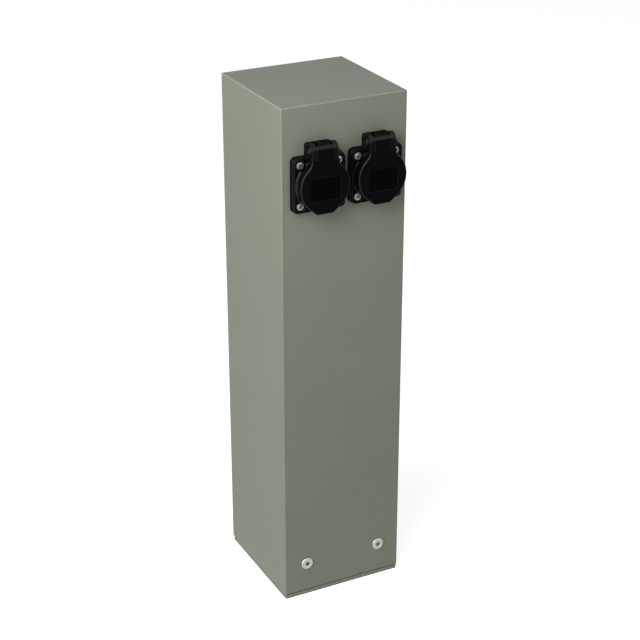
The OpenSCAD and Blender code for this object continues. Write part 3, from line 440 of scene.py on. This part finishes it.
def make_finishes(looks):
    """All finishes by the record's slot names."""
    plastic = tuple(looks.outlet.plastic_colour)
    return {
        "powder_coat": powder_coat(looks),
        "black_plastic": outlet_plastic(looks),
        "black_plastic_rim": outlet_plastic(looks, rim=True),
        "dark_plastic": moulded("dark_plastic", shade(plastic, 6), 0.45, 0.5, 0.03),
        "cream_plastic": moulded("cream_plastic", (0.62, 0.57, 0.45), 0.42, 0.6, 0.03, 1.15),
        "rubber": soft_rubber(looks),
        "stainless": metal("stainless", (0.60, 0.59, 0.57), 0.24, 0.05, stain_share=0.1),
        "black_steel": blackened(),
        "spring_steel": metal("spring_steel", (0.52, 0.52, 0.52), 0.26, 0.05),
        "zinc_steel": spangled_zinc(),
        "tinned_copper": metal("tinned_copper", (0.66, 0.64, 0.6), 0.3, 0.1),
        "brass": metal("brass", (0.62, 0.44, 0.18), 0.27, 0.1, (1, 1, 8), (0.22, 0.14, 0.07), 0.2),
        "wire_brown": insulation("wire_brown", (0.12, 0.05, 0.022)),
        "wire_blue": insulation("wire_blue", (0.03, 0.12, 0.42)),
        "wire_green_yellow": insulation("wire_green_yellow", (0.06, 0.26, 0.05), (0.72, 0.6, 0.05)),
    }


FINISHES = {}


def finish_of(slot):
    """The finish for a slot; all are made at the first call."""
    if not FINISHES:
        FINISHES.update(make_finishes(bpy.context.scene.socket_post))
    return FINISHES[slot]


def slot_of(node):
    """The record's finish slot of a CAD node."""
    for row in frame["record"]["subparts"]:
        if row["node"] == node:
            return row["material_slot"]
    raise RuntimeError("no finish is recorded for " + node)


def finish_solids(*names):
    """Gives solids that stay as they are their own finish."""
    for name in names:
        paint = finish_of(slot_of(name))
        piece = frame["nodes"][name]
        if not piece.material_slots:
            raise RuntimeError(name + " has no place for a finish")
        for place in piece.material_slots:
            place.material = paint


# Surfaces
def grid_faces(rows, columns, wrap_rows, wrap_columns, start):
    """Corner numbers of the quads between neighbours of a rows x columns grid."""
    r, c = np.meshgrid(
        np.arange(rows if wrap_rows else rows - 1),
        np.arange(columns if wrap_columns else columns - 1), indexing="ij")
    below, beside = (r + 1) % rows, (c + 1) % columns
    quad = [r * columns + c, below * columns + c, below * columns + beside, r * columns + beside]
    return start + np.stack(quad, axis=-1).reshape(-1, 4)


def surface_piece(name, sheets, body, nodes, sharp=35.0, **values):
    """Object from grids of points in metres, their columns wrapped round; equal points are
    merged, faces turned outwards and edges above the sharp angle kept crisp. Other values are
    kept on the points for the finish."""
    points, faces, start = [], [], 0
    for sheet in sheets:
        rows, columns = sheet.shape[:2]
        points.append(sheet.reshape(-1, 3))
        faces.append(grid_faces(rows, columns, False, True, start))
        start += rows * columns
    mesh = bpy.data.meshes.new(name)
    mesh.from_pydata(np.concatenate(points), [], np.concatenate(faces).tolist())
    for key, value in values.items():
        kept = mesh.attributes.new(key, "FLOAT", "POINT")
        kept.data.foreach_set("value", value.ravel().astype(np.float32))
    work = bmesh.new()
    work.from_mesh(mesh)
    bmesh.ops.remove_doubles(work, verts=work.verts, dist=1e-6)
    bmesh.ops.recalc_face_normals(work, faces=work.faces)
    work.to_mesh(mesh)
    work.free()
    return placed(name, mesh, body, nodes, sharp)


def placed(name, mesh, body, nodes, sharp=35.0):
    """Links a finished mesh, gives it the finish of the first node it stands for, and its body."""
    mesh.polygons.foreach_set("use_smooth", np.ones(len(mesh.polygons), bool))
    mesh.set_sharp_from_angle(angle=math.radians(sharp))
    slot = slot_of(nodes[0])
    mesh.materials.clear()
    mesh.materials.append(finish_of(slot))
    piece = bpy.data.objects.new(name, mesh)
    bpy.context.scene.collection.objects.link(piece)
    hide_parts(*nodes)
    if body:
        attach(piece, body)
    return piece


def column(rows, key, width=1, kind=float):
    """A value, or a row of width values, of every corner, edge or face of a mesh."""
    values = np.empty(len(rows) * width, kind)
    rows.foreach_get(key, values)
    return values.reshape(-1, width) if width > 1 else values


def clean_edges(mesh, sharp=40.0, pinch=40.0):
    """Two rows: true for edges that turn more than the sharp angle, and true for those that
    can be rounded, which leaves out all that end in a corner where two sharp edges leave
    within the pinch angle of each other."""
    ends = column(mesh.edges, "vertices", 2, int)
    place = column(mesh.vertices, "co", 3)
    normal = column(mesh.polygons, "normal", 3)
    sizes = column(mesh.polygons, "loop_total", kind=int)
    edge = column(mesh.loops, "edge_index", kind=int)
    # The first and the last face at each edge, and how far the normal turns between them
    face = np.repeat(np.arange(len(sizes)), sizes)
    order = np.argsort(edge, kind="stable")
    count = np.bincount(edge, minlength=len(ends))
    first = np.concatenate([[0], np.cumsum(count)[:-1]])
    one, two = face[order[first]], face[order[first + count - 1]]
    turning = np.sum(normal[one] * normal[two], 1) < math.cos(math.radians(sharp))
    turning &= count == 2
    # The directions in which sharp edges leave each corner, neighbours in the sorted rows
    ray = place[ends[:, 1]] - place[ends[:, 0]]
    ray /= np.maximum(np.linalg.norm(ray, axis=1, keepdims=True), 1e-9)
    at = np.concatenate([ends[turning, 0], ends[turning, 1]])
    away = np.concatenate([ray[turning], -ray[turning]])
    order = np.argsort(at, kind="stable")
    at, away = at[order], away[order]
    bad = np.zeros(len(place), bool)
    nearest = 5
    for step in range(1, nearest + 1):
        same = at[:-step] == at[step:]
        close = np.sum(away[:-step] * away[step:], 1) > math.cos(math.radians(pinch))
        bad[at[:-step][same & close]] = True
    leaving = np.bincount(at, minlength=len(place))
    bad |= (leaving > 3) | (leaving == 1)
    return turning, turning & ~bad[ends[:, 0]] & ~bad[ends[:, 1]]


def cap_edges(mesh, side):
    """Three rows of true for the lid's edges: those of its front outline, those round the
    shallow panel in the same front plane, and the panel's other edges below that plane."""
    margin, level = 0.2, 0.01
    x, y, z = column(mesh.vertices, "co", 3).T / MM
    across, up = np.abs(x - ORIGIN[side][0]), np.abs(z - ORIGIN[side][2] - PANEL_UP)
    depth = y - corners("lid_" + side)[0][1]
    panel = (
        (across < PANEL_HALF_W + margin) & (up < PANEL_HALF_H + margin)
        & (depth < PANEL_DEPTH + margin))
    ends = column(mesh.edges, "vertices", 2, int)
    inside = panel[ends].all(axis=1)
    front = (depth < level)[ends].all(axis=1)
    return front & ~panel[ends].any(axis=1), inside & front, inside & ~front


def softened(node, name, body, radius, wide=None):
    """A solid's own mesh, merged, its flat faces cut anew into even triangles, with the
    moulding's rounded edges. Wide gives a side and the larger radius of its lid's outline."""
    merge, flat, lean_from, lean_to, brink_share = 2e-6, math.radians(0.4), 0.12, 0.97, 0.5
    mesh = frame["nodes"][node].data.copy()
    mesh.name = name
    work = bmesh.new()
    work.from_mesh(mesh)
    bmesh.ops.remove_doubles(work, verts=work.verts, dist=merge)
    bmesh.ops.dissolve_limit(
        work, angle_limit=flat, use_dissolve_boundaries=False, verts=work.verts, edges=work.edges)
    bmesh.ops.triangulate(work, faces=work.faces, quad_method="BEAUTY", ngon_method="BEAUTY")
    work.to_mesh(mesh)
    work.free()
    mesh.update()
    piece = placed(name, mesh, body, [node], 30.0)
    mesh.materials.append(finish_of("black_plastic_rim"))
    # The rim finish, with its painted highlight, on faces that lean, neither square to the front nor
    # parallel to it
    facing = np.abs(column(mesh.polygons, "normal", 3)[:, 1])
    leaning = (facing > lean_from) & (facing < lean_to)
    mesh.polygons.foreach_set("material_index", leaning.astype(int))
    width = wide[1] if wide else radius
    turning, clean = clean_edges(mesh)
    mesh.edges.foreach_set("use_edge_sharp", turning)
    share = clean * radius / width
    if wide:
        outline, brink, foot = cap_edges(mesh, wide[0])
        share[outline & (share > 0)] = 1
        share[brink] *= brink_share
        share[foot] = 0
    weight = mesh.attributes.new("bevel_weight_edge", "FLOAT", "EDGE")
    weight.data.foreach_set("value", share.astype(np.float32))
    bevel = piece.modifiers.new("Rounded edges", "BEVEL")
    bevel.width = width
    bevel.segments = 4 if wide else 3
    # The rounded edges take the rim finish with its painted highlight
    bevel.material = 1
    bevel.limit_method = "WEIGHT"
    bevel.use_clamp_overlap = False
    bevel.loop_slide = False
    bevel.harden_normals = True
    return piece


def circle(count):
    """Angles of a full turn."""
    return np.arange(count) * 2 * math.pi / count


def turned(profile, count=72):
    """Profile of (radius, height) pairs turned about the height axis: (r cos a, r sin a, h)."""
    radius, height = np.asarray(profile, float).T
    a = circle(count)
    return np.stack([
        radius[:, None] * np.cos(a), radius[:, None] * np.sin(a),
        np.repeat(height[:, None], count, 1)], -1)


def arc(cx, cy, r, first, last, count=6):
    """Points of an arc in a profile, its angles in degrees."""
    a = np.radians(np.linspace(first, last, count))
    return [(cx + r * math.cos(w), cy + r * math.sin(w)) for w in a]


def swept(path, diameter, sides):
    """Tube along a path: each ring lies square to the path, kept level with the X axis, and the
    ends close in a point. Returns the rings and each point's turn round the wire."""
    path = np.asarray(path, float)
    ahead = np.empty_like(path)
    ahead[1:-1] = path[2:] - path[:-2]
    ahead[0], ahead[-1] = path[1] - path[0], path[-1] - path[-2]
    ahead /= np.linalg.norm(ahead, axis=1, keepdims=True)
    a = np.cross(ahead, np.cross([1.0, 0.0, 0.0], ahead))
    a /= np.linalg.norm(a, axis=1, keepdims=True)
    b = np.cross(ahead, a)
    w = circle(sides)
    ring = np.cos(w)[None, :, None] * a[:, None] + np.sin(w)[None, :, None] * b[:, None]
    inset = 0.12 * diameter
    shell = path[:, None] + diameter / 2 * ring
    shell[0] += inset * ahead[0]
    shell[-1] -= inset * ahead[-1]
    first, last = (
        [path[end] + radius * ring[end] for radius in (0, diameter / 2 - inset)]
        for end in (0, -1))
    rings = np.stack([*first, *shell, *reversed(last)])
    return rings, np.tile(np.cos(w), len(rings))


def smooth_line(points, steps):
    """Catmull-Rom curve through the points: four neighbours weighted by cubic shares of t."""
    p = np.asarray(points, float)
    q = np.concatenate([p[:1], p, p[-1:]])
    t = (np.arange(steps) / steps)[:, None]
    spans = [
        0.5 * (2 * b + (c - a) * t + (2 * a - 5 * b + 4 * c - d) * t ** 2
               + (3 * b - a - 3 * c + d) * t ** 3)
        for a, b, c, d in zip(q, q[1:], q[2:], q[3:])]
    return np.concatenate(spans + [p[-1:]])


# Fine pieces
def square_outline(width, corner_r, count):
    """Rounded square by arc length: four straight sides and four quarter circles, as points
    and outward normals."""
    half = width / 2 - corner_r
    straight, quarter = 2 * half, math.pi / 2 * corner_r
    step = (np.arange(count) + 0.5) / count * 4 * (straight + quarter)
    side = (step // (straight + quarter)).astype(int)
    along = step % (straight + quarter)
    bend = np.clip(along - straight, 0, quarter) / corner_r
    x = np.minimum(along, straight) - half + corner_r * np.sin(bend)
    y = -half - corner_r * np.cos(bend)
    nx, ny = np.sin(bend), -np.cos(bend)
    turn = side * math.pi / 2
    c, s = np.cos(turn), np.sin(turn)
    return (
        np.stack([x * c - y * s, x * s + y * c], -1),
        np.stack([nx * c - ny * s, nx * s + ny * c], -1))


def gasket_sheet(width, thick, bulge, hole_d, corner_r=5.0, count=240):
    """Closed ring: from the round hole over the front to the swollen outer edge, a half wave
    of the bulge's height, and back behind."""
    line, out = square_outline(width, corner_r, count)
    angle = np.arctan2(line[:, 1], line[:, 0])
    hole = hole_d / 2 * np.stack([np.cos(angle), np.sin(angle)], -1)
    up = np.linspace(0, 1, 9)
    inset, rounding = 0.4, 0.1
    swell = bulge * np.sin(up * math.pi) - rounding * np.abs(2 * up - 1) ** 6
    rows = [(hole, 0.0), (line - inset * out, 0.0)]
    rows += [(line + s * out, u * thick) for s, u in zip(swell, up)]
    rows += [(line - inset * out, thick), (hole, thick), (hole, 0.0)]
    return np.stack([np.column_stack([xy, np.full(count, h)]) for xy, h in rows])


def pan_head(radius, height, recess, shank_r, length, count=96):
    """Pan head with a cross recess: a dome, flat in the middle and round at the rim, less a tapered
    cross whose depth falls off away from the middle; then the shank. Also the painted shade on each
    point, thick in the recess and towards the rim."""
    a = circle(count)
    s = np.concatenate([np.linspace(0, 0.6, 26), np.linspace(0.62, 0.985, 16)])
    r = s[:, None] * radius
    x, y = r * np.cos(a), r * np.sin(a)
    dome = height * (1 - 0.2 * s ** 2 - 0.45 * np.clip((s - 0.72) / 0.28, 0, 1) ** 2.4)[:, None]
    wing, end = 0.15 * radius, 0.58 * radius
    near, far = np.minimum(np.abs(x), np.abs(y)), np.maximum(np.abs(x), np.abs(y))
    wide = wing * (1 - 0.25 * far / end)
    mask = np.clip((wide - near) / 0.12 + 0.5, 0, 1) * np.clip((end - far) / 0.18 + 0.5, 0, 1)
    mask = mask * mask * (3 - 2 * mask)
    z = dome - recess * mask * (1 - 0.45 * far / end)
    top = np.stack([x, y, np.broadcast_to(z, x.shape)], -1)
    side = turned([
        (radius, 0.3 * height), (radius, 0.12), (radius - 0.12, 0.0), (shank_r + 0.2, 0.0),
        (shank_r, -0.25), (shank_r, -length + 0.5), (shank_r - 0.5, -length), (0, -length)], count)
    # Painted shade: some everywhere, more in the recess and towards the rim
    head_shade = 0.3 + np.clip(2 * mask, 0, 1) + np.clip((s[:, None] - 0.6) / 0.35, 0, 1) ** 1.5
    head_shade = np.concatenate([np.clip(head_shade, 0, 1), np.ones(side.shape[:2])])
    return np.concatenate([top, side]), head_shade


def socket_head(radius, height, bevel, key, shank_r, length, count=96):
    """Flat head with a hexagon socket: rings that change from the socket's hexagon to circles,
    over the bevelled rim, under the head and down the shank."""
    a = circle(count)
    hexagon = key / 2 / np.cos((a + math.pi / 6) % (math.pi / 3) - math.pi / 6)
    floor = 0.25 * height
    rows = [
        (0, floor - 0.25), (0.55 * hexagon, floor), (0.97 * hexagon, floor), (hexagon, floor + 0.1),
        (hexagon, height - 0.3), (hexagon + 0.12, height - 0.08), (hexagon + 0.3, height),
        (0.75 * radius, height), (radius - bevel - 0.15, height), (radius - bevel, height - 0.06),
        (radius - 0.08, height - bevel), (radius, height - bevel - 0.15), (radius, 0.15),
        (radius - 0.12, 0.0), (shank_r + 0.2, 0.0), (shank_r, -0.2), (shank_r, -length + 0.7),
        (shank_r - 0.7, -length), (0, -length)]
    return np.stack([
        np.stack([r * np.cos(a), r * np.sin(a), np.full(count, h)], -1) for r, h in rows])


def spun(points, degrees):
    """Points turned about their own height axis."""
    c, s = math.cos(math.radians(degrees)), math.sin(math.radians(degrees))
    x, y, z = np.moveaxis(points, -1, 0)
    return np.stack([c * x - s * y, s * x + c * y, z], -1)


# Operators
class SOCKETPOST_OT_stage(Operator):
    """Sets the floor, the white surroundings, the soft lights and the camera"""
    bl_idname = "socketpost.stage"
    bl_label = "Stage"

    def execute(self, context):
        looks = context.scene.socket_post.stage
        self.floor(looks)
        self.world(context.scene, looks)
        for name, place, target, size, power in (
                ("Left light", (-2.3, -0.9, 1.25), (0, 0, 0.28), 1.9, looks.key_power),
                ("Front light", (0.5, -1.7, 0.36), (0, 0, 0.1), 0.7, looks.front_power),
                ("Crown light", (-0.36, -0.42, 0.82), (-0.02, -0.04, 0.46), 0.3, looks.crown_power),
                ("Top light", (-0.2, -0.2, 2.6), (0, 0, 0.3), 1.6, looks.top_power)):
            self.soft_light(name, place, target, size, power)
        self.camera(context.scene, looks.lens)
        context.scene.view_settings.view_transform = "Standard"
        return {"FINISHED"}

    @staticmethod
    def floor(looks):
        """Large cloth that also glows where the camera or a mirror sees it, so that it ends up
        white in the picture; it lies just below the feet."""
        half, below, glow_level, mirrored_share = 9.0, 0.3 * MM, 0.82, 0.4
        f = Finish("floor")
        cloth = f.node("ShaderNodeBsdfDiffuse", {}, {"Color": (*looks.floor_colour, 1)})
        glow = f.node("ShaderNodeEmission", {}, {"Color": WHITE, "Strength": glow_level})
        both = f.node("ShaderNodeAddShader", {}, {0: cloth, 1: glow})
        seen = f.ray("Camera") + f.ray("Glossy") * mirrored_share
        mixed = f.node("ShaderNodeMixShader", {}, {0: seen, 1: cloth, 2: both})
        f.node("ShaderNodeOutputMaterial", {}, {"Surface": mixed})
        mesh = bpy.data.meshes.new("floor")
        square = [(-half, -half, 0), (half, -half, 0), (half, half, 0), (-half, half, 0)]
        mesh.from_pydata(square, [], [(0, 1, 2, 3)])
        mesh.materials.append(f.made)
        floor = bpy.data.objects.new("floor", mesh)
        bpy.context.scene.collection.objects.link(floor)
        floor.location.z = -below

    @staticmethod
    def world(scene, looks):
        """Surroundings: white where the camera, a mirror or glass sees them, dim as a light."""
        f = Finish("Surroundings", "worlds")
        camera, mirror, glass = f.ray("Camera"), f.ray("Glossy"), f.ray("Transmission")
        seen = camera.math("MAXIMUM", camera.math("MAXIMUM", camera, mirror), glass)
        dim, white = (
            f.node("ShaderNodeBackground", {}, {"Color": WHITE, "Strength": level})
            for level in (looks.sky_level, 1.0))
        mixed = f.node("ShaderNodeMixShader", {}, {0: seen, 1: dim, 2: white})
        f.node("ShaderNodeOutputWorld", {}, {"Surface": mixed})
        scene.world = f.made

    @staticmethod
    def soft_light(name, place, target, size, power):
        """Square area light, in metres and watts, turned towards a target."""
        lamp = bpy.data.lights.new(name, "AREA")
        lamp.energy = power
        lamp.size = size
        light = bpy.data.objects.new(name, lamp)
        bpy.context.scene.collection.objects.link(light)
        light.location = place
        light.visible_camera = False
        back = Vector(np.subtract(place, target))
        light.rotation_mode = "QUATERNION"
        light.rotation_quaternion = back.to_track_quat("Z", "Y")

    @staticmethod
    def camera(scene, lens):
        """The photograph's view: from the front left, looking down."""
        place, down, turn, sensor = (-0.6446, -1.2768, 0.9206), 24.69, 27.05, 36
        camera = bpy.data.objects.new("Camera", bpy.data.cameras.new("Camera"))
        scene.collection.objects.link(camera)
        camera.location = place
        camera.rotation_euler = (math.radians(90 - down), 0, math.radians(-turn))
        camera.data.lens = lens
        camera.data.sensor_width = sensor
        scene.camera = camera


class SOCKETPOST_OT_post(Operator):
    """Finishes the sheet-metal post, its base and the equipment plate"""
    bl_idname = "socketpost.post"
    bl_label = "Post and base"

    def execute(self, context):
        finish_solids(
            "post_body", "base_plate", "base_bracket_front", "base_bracket_rear", "base_nuts",
            "earth_stud", "earth_washer", "earth_nut", "earth_lug", "equipment_plate",
            "equipment_plate_screws", "terminal_strip", "terminal_sleeves", "terminal_clamp_screws",
            "terminal_fixing_screws", "cable_clamp", "cable_clamp_screws")
        return {"FINISHED"}


class SOCKETPOST_OT_base_screws(Operator):
    """Turns the four base screws with their hexagon sockets"""
    bl_idname = "socketpost.base_screws"
    bl_label = "Base screws"

    def execute(self, context):
        bevel = context.scene.socket_post.post.bolt_bevel / MM
        low, high = corners("base_screws")
        face = corners("post_body")[1][1]
        radius, height = (high[2] - low[2]) / 2, high[1] - face
        head = socket_head(radius, height, bevel, key=4.0, shank_r=3.0, length=14.0)
        sheets = []
        for end in (-1, 1):
            for x, spin in ((low[0] + radius, 11), (high[0] - radius, -17)):
                u, v, h = np.moveaxis(spun(head, spin + 23 * end), -1, 0)
                screw = np.stack([x + u, end * (face + h), (low[2] + high[2]) / 2 + v], -1)
                sheets.append(screw * MM)
        # Painted shade in the sockets, which are the head's first rings
        socket_rings, head_shade = 5, np.zeros(head.shape[:2])
        head_shade[:socket_rings] = 0.8
        surface_piece(
            "base_screws_turned", sheets, "post", ["base_screws"], grime=np.stack([head_shade] * 4))
        return {"FINISHED"}


class SOCKETPOST_OT_grommet(Operator):
    """Turns the cable grommet with its rounded rubber lips"""
    bl_idname = "socketpost.grommet"
    bl_label = "Cable grommet"

    def execute(self, context):
        low, high = corners("cable_grommet")
        plate = corners("base_plate")[1][2]
        rim, top, foot = high[0], high[2], low[2]
        bore, neck = 15.6, 17.8
        foot_r, rim_foot_r, rim_top_r, mouth_r = 0.6, 0.7, 0.9, 1.1
        profile = [
            (bore, foot + foot_r), *arc(bore + foot_r, foot + foot_r, foot_r, 180, 270),
            *arc(neck - foot_r, foot + foot_r, foot_r, 270, 360), (neck, plate),
            (rim - rim_foot_r, plate),
            *arc(rim - rim_foot_r, plate + rim_foot_r, rim_foot_r, 270, 360),
            *arc(rim - rim_top_r, top - rim_top_r, rim_top_r, 0, 90),
            *arc(bore + mouth_r, top - mouth_r, mouth_r, 90, 180), (bore, foot + foot_r)]
        surface_piece(
            "cable_grommet_moulded", [turned(profile, 96) * MM], "post", ["cable_grommet"])
        return {"FINISHED"}


class SOCKETPOST_OT_housings(Operator):
    """Gives the outlet housings their rounded moulded edges and finishes the parts inside"""
    bl_idname = "socketpost.housings"
    bl_label = "Outlet housings"

    def execute(self, context):
        radius = context.scene.socket_post.outlet.edge_radius
        for side in SIDES:
            softened("outlet_housing_" + side, "housing_moulded_" + side, "post", radius)
            finish_solids(*[part + side for part in (
                "contact_carrier_", "rear_cover_", "cover_screws_", "line_contact_",
                "neutral_contact_", "earth_contact_", "terminal_screws_", "flange_nuts_")])
        return {"FINISHED"}


class SOCKETPOST_OT_gaskets(Operator):
    """Moulds the gaskets, swollen under the flanges"""
    bl_idname = "socketpost.gaskets"
    bl_label = "Gaskets"

    def execute(self, context):
        bulge = context.scene.socket_post.outlet.gasket_bulge / MM
        for side in SIDES:
            sheet = gasket_sheet(GASKET_W, GASKET_T, bulge, hole_d=43.2)
            surface_piece(
                "gasket_moulded_" + side, [from_outlet(side, sheet)], "post", ["gasket_" + side])
        return {"FINISHED"}


class SOCKETPOST_OT_flange_screws(Operator):
    """Turns the flange screws, each cross recess left at its own angle"""
    bl_idname = "socketpost.flange_screws"
    bl_label = "Flange screws"

    def execute(self, context):
        for side in SIDES:
            low, high = corners("flange_screws_" + side)
            radius, height = 4.0, 2.9
            span = (high[0] - low[0]) / 2 - radius
            seat = ORIGIN[side][1] - low[1] - height
            head, head_shade = pan_head(
                radius, height, recess=1.5, shank_r=2.0, length=high[1] - low[1] - height)
            sheets = []
            for number, (sx, sy) in enumerate(((-1, -1), (1, -1), (-1, 1), (1, 1))):
                screw = spun(head, 14 + 61 * number + (37 if side == "right" else 0))
                sheets.append(from_outlet(side, screw + [sx * span, sy * span, seat]))
            # The heads' points carry the painted shade of their recesses and rims
            surface_piece(
                "flange_screws_turned_" + side, sheets, "post", ["flange_screws_" + side],
                grime=np.stack([head_shade] * 4))
        return {"FINISHED"}


class SOCKETPOST_OT_lids(Operator):
    """Gives the sprung lids their rounded edges"""
    bl_idname = "socketpost.lids"
    bl_label = "Lids"

    def execute(self, context):
        looks = context.scene.socket_post.outlet
        for side in SIDES:
            softened(
                "lid_" + side, "lid_moulded_" + side, "lid_" + side, looks.edge_radius,
                (side, looks.cap_radius))
            self.seal(side)
        return {"FINISHED"}

    @staticmethod
    def seal(side):
        """Rubber ring: flat in its groove, rounded where it meets the collar."""
        low, high = corners("lid_seal_" + side)
        width, r = 2.0, 0.9
        outer = (high[0] - low[0]) / 2
        inner = outer - width
        back, front = ORIGIN[side][1] - high[1], ORIGIN[side][1] - low[1]
        profile = [
            (inner, front), (inner, back + r), *arc(inner + r, back + r, r, 180, 270),
            *arc(outer - r, back + r, r, 270, 360), (outer, back + r), (outer, front),
            (inner, front)]
        surface_piece(
            "lid_seal_moulded_" + side, [from_outlet(side, turned(profile, 120))],
            "lid_" + side, ["lid_seal_" + side])


class SOCKETPOST_OT_hinges(Operator):
    """Turns the hinge pins and winds the lid springs"""
    bl_idname = "socketpost.hinges"
    bl_label = "Hinge pins and springs"

    def execute(self, context):
        looks = context.scene.socket_post.outlet
        for side in SIDES:
            self.pin(side)
            self.spring(side, looks.spring_wire / MM, looks.spring_turns)
        return {"FINISHED"}

    @staticmethod
    def pin(side):
        """Pin turned about the hinge axis: a shaft with a riveted, dished head at each end."""
        low, high = corners("hinge_pin_" + side)
        half, head_r, shaft_r, head_t = (high[0] - low[0]) / 2, (high[2] - low[2]) / 2, 1.5, 0.5
        one = [
            (0, half - 0.18), (0.7, half - 0.16), (1.2, half), (head_r - 0.5, half - 0.02),
            (head_r - 0.12, half - 0.14), (head_r, half - 0.32), (head_r - 0.06, half - head_t),
            (shaft_r, half - head_t)]
        profile = one + [(r, -h) for r, h in reversed(one)]
        out, up, across = np.moveaxis(turned(profile, 40), -1, 0)
        points = np.stack([across, HINGE_UP + up, HINGE_OUT + out], -1)
        surface_piece(
            "hinge_pin_turned_" + side, [from_outlet(side, points)], "post", ["hinge_pin_" + side])

    @staticmethod
    def spring(side, wire, turns):
        """Torsion spring: a helix along the hinge axis, its fixed leg running back from the lowest
        point and its moving leg up from the foremost one."""
        first, last, r = -5.4, 6.2, 2.8
        curl = 2 * math.pi * (turns + 0.25)
        w = np.linspace(0, curl, int(28 * turns))
        coil = np.column_stack([
            first + (last - first) * w / curl, HINGE_UP + r * np.sin(w - math.pi / 2),
            HINGE_OUT + r * np.cos(w - math.pi / 2)])
        # The two legs, each from its end of the coil
        back = coil[0] + np.array([[0, 0, -6.4], [0, 0, -4.0], [0, 0, -1.6], [0, 0, -0.5]])
        up = coil[-1] + np.array([[0, 0.5, 0], [0, 1.4, 0], [0, r + 0.6, 0]])
        rings, _ = swept(np.concatenate([back, coil, up]), wire, 14)
        spring = surface_piece(
            "lid_spring_wound_" + side, [from_outlet(side, rings)], None,
            ["lid_spring_" + side], 60.0)
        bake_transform(spring)


class SOCKETPOST_OT_wires(Operator):
    """Draws the wires from the terminal strip to the contacts"""
    bl_idname = "socketpost.wires"
    bl_label = "Wires"

    def execute(self, context):
        pitch, middle, diameter = 8.0, 2.5, 3.2
        for node, poles, offset in (
                ("wires_brown", (0, 3), -9.5), ("wires_blue", (2, 5), 9.5),
                ("wires_earth", (1, 4), 0)):
            paths = [
                self.rise((pole - middle) * pitch, ORIGIN[side][0] + offset)
                for pole, side in zip(poles, SIDES)]
            if node == "wires_earth":
                # The earth wire from the stud to the strip
                paths.append(smooth_line([
                    (-45, 9, 8), (-45, 13, 8), (-45, 16, 10), (-43, 18, 16), (-36, 17, 40),
                    (-26, 16, 72), (-17, 15, 98), (-12, 15, 108), (-12, 15, 115), (-12, 15, 121)], 10))
            drawn = [swept(path, diameter, 16) for path in paths]
            surface_piece(
                node + "_drawn", [rings * MM for rings, _ in drawn], "post", [node], 50.0,
                turn=np.concatenate([turn for _, turn in drawn]))
        return {"FINISHED"}

    @staticmethod
    def rise(start_x, end_x, count=64):
        """Straight up from the pole, across by a smooth step of height, straight to the contact."""
        low, high, straight = 143.0, 417.5, 28.0
        start_y, end_y = 15.0, -42.9
        z = np.linspace(low, high, count)
        s = np.clip((z - low - straight) / (high - low - 2 * straight), 0, 1)
        s = s * s * (3 - 2 * s)
        return np.column_stack([
            start_x + (end_x - start_x) * s, start_y + (end_y - start_y) * s, z])


STEPS = (
    SOCKETPOST_OT_stage, SOCKETPOST_OT_post, SOCKETPOST_OT_base_screws, SOCKETPOST_OT_grommet,
    SOCKETPOST_OT_housings, SOCKETPOST_OT_gaskets, SOCKETPOST_OT_flange_screws, SOCKETPOST_OT_lids,
    SOCKETPOST_OT_hinges, SOCKETPOST_OT_wires)


class SocketPostLooks(PropertyGroup):
    """All sizes, colours and lights of the socket post"""
    post: PointerProperty(type=PostLooks)
    outlet: PointerProperty(type=OutletLooks)
    stage: PointerProperty(type=StageLooks)


class SOCKETPOST_PT_pieces(Panel):
    """Sizes, colours and pieces of the socket post"""
    bl_idname = "SOCKETPOST_PT_pieces"
    bl_label = "Socket post"
    bl_space_type = "VIEW_3D"
    bl_region_type = "UI"
    bl_category = "Socket post"

    def draw(self, context):
        looks = context.scene.socket_post
        for group in (looks.post, looks.outlet, looks.stage):
            box = self.layout.box()
            for name in group.bl_rna.properties.keys():
                if name not in ("rna_type", "name"):
                    box.prop(group, name)
        for step in STEPS:
            self.layout.operator(step.bl_idname)


CLASSES = (OutletLooks, PostLooks, StageLooks, SocketPostLooks, *STEPS, SOCKETPOST_PT_pieces)


def register():
    for made in CLASSES:
        bpy.utils.register_class(made)
    bpy.types.Scene.socket_post = PointerProperty(type=SocketPostLooks)


def unregister():
    del bpy.types.Scene.socket_post
    for made in reversed(CLASSES):
        bpy.utils.unregister_class(made)


def main():
    register()
    bpy.ops.socketpost.stage()
    bpy.ops.socketpost.post()
    bpy.ops.socketpost.base_screws()
    bpy.ops.socketpost.grommet()
    bpy.ops.socketpost.housings()
    bpy.ops.socketpost.gaskets()
    bpy.ops.socketpost.flange_screws()
    bpy.ops.socketpost.lids()
    bpy.ops.socketpost.hinges()
    bpy.ops.socketpost.wires()


if __name__ == "__main__":
    main()
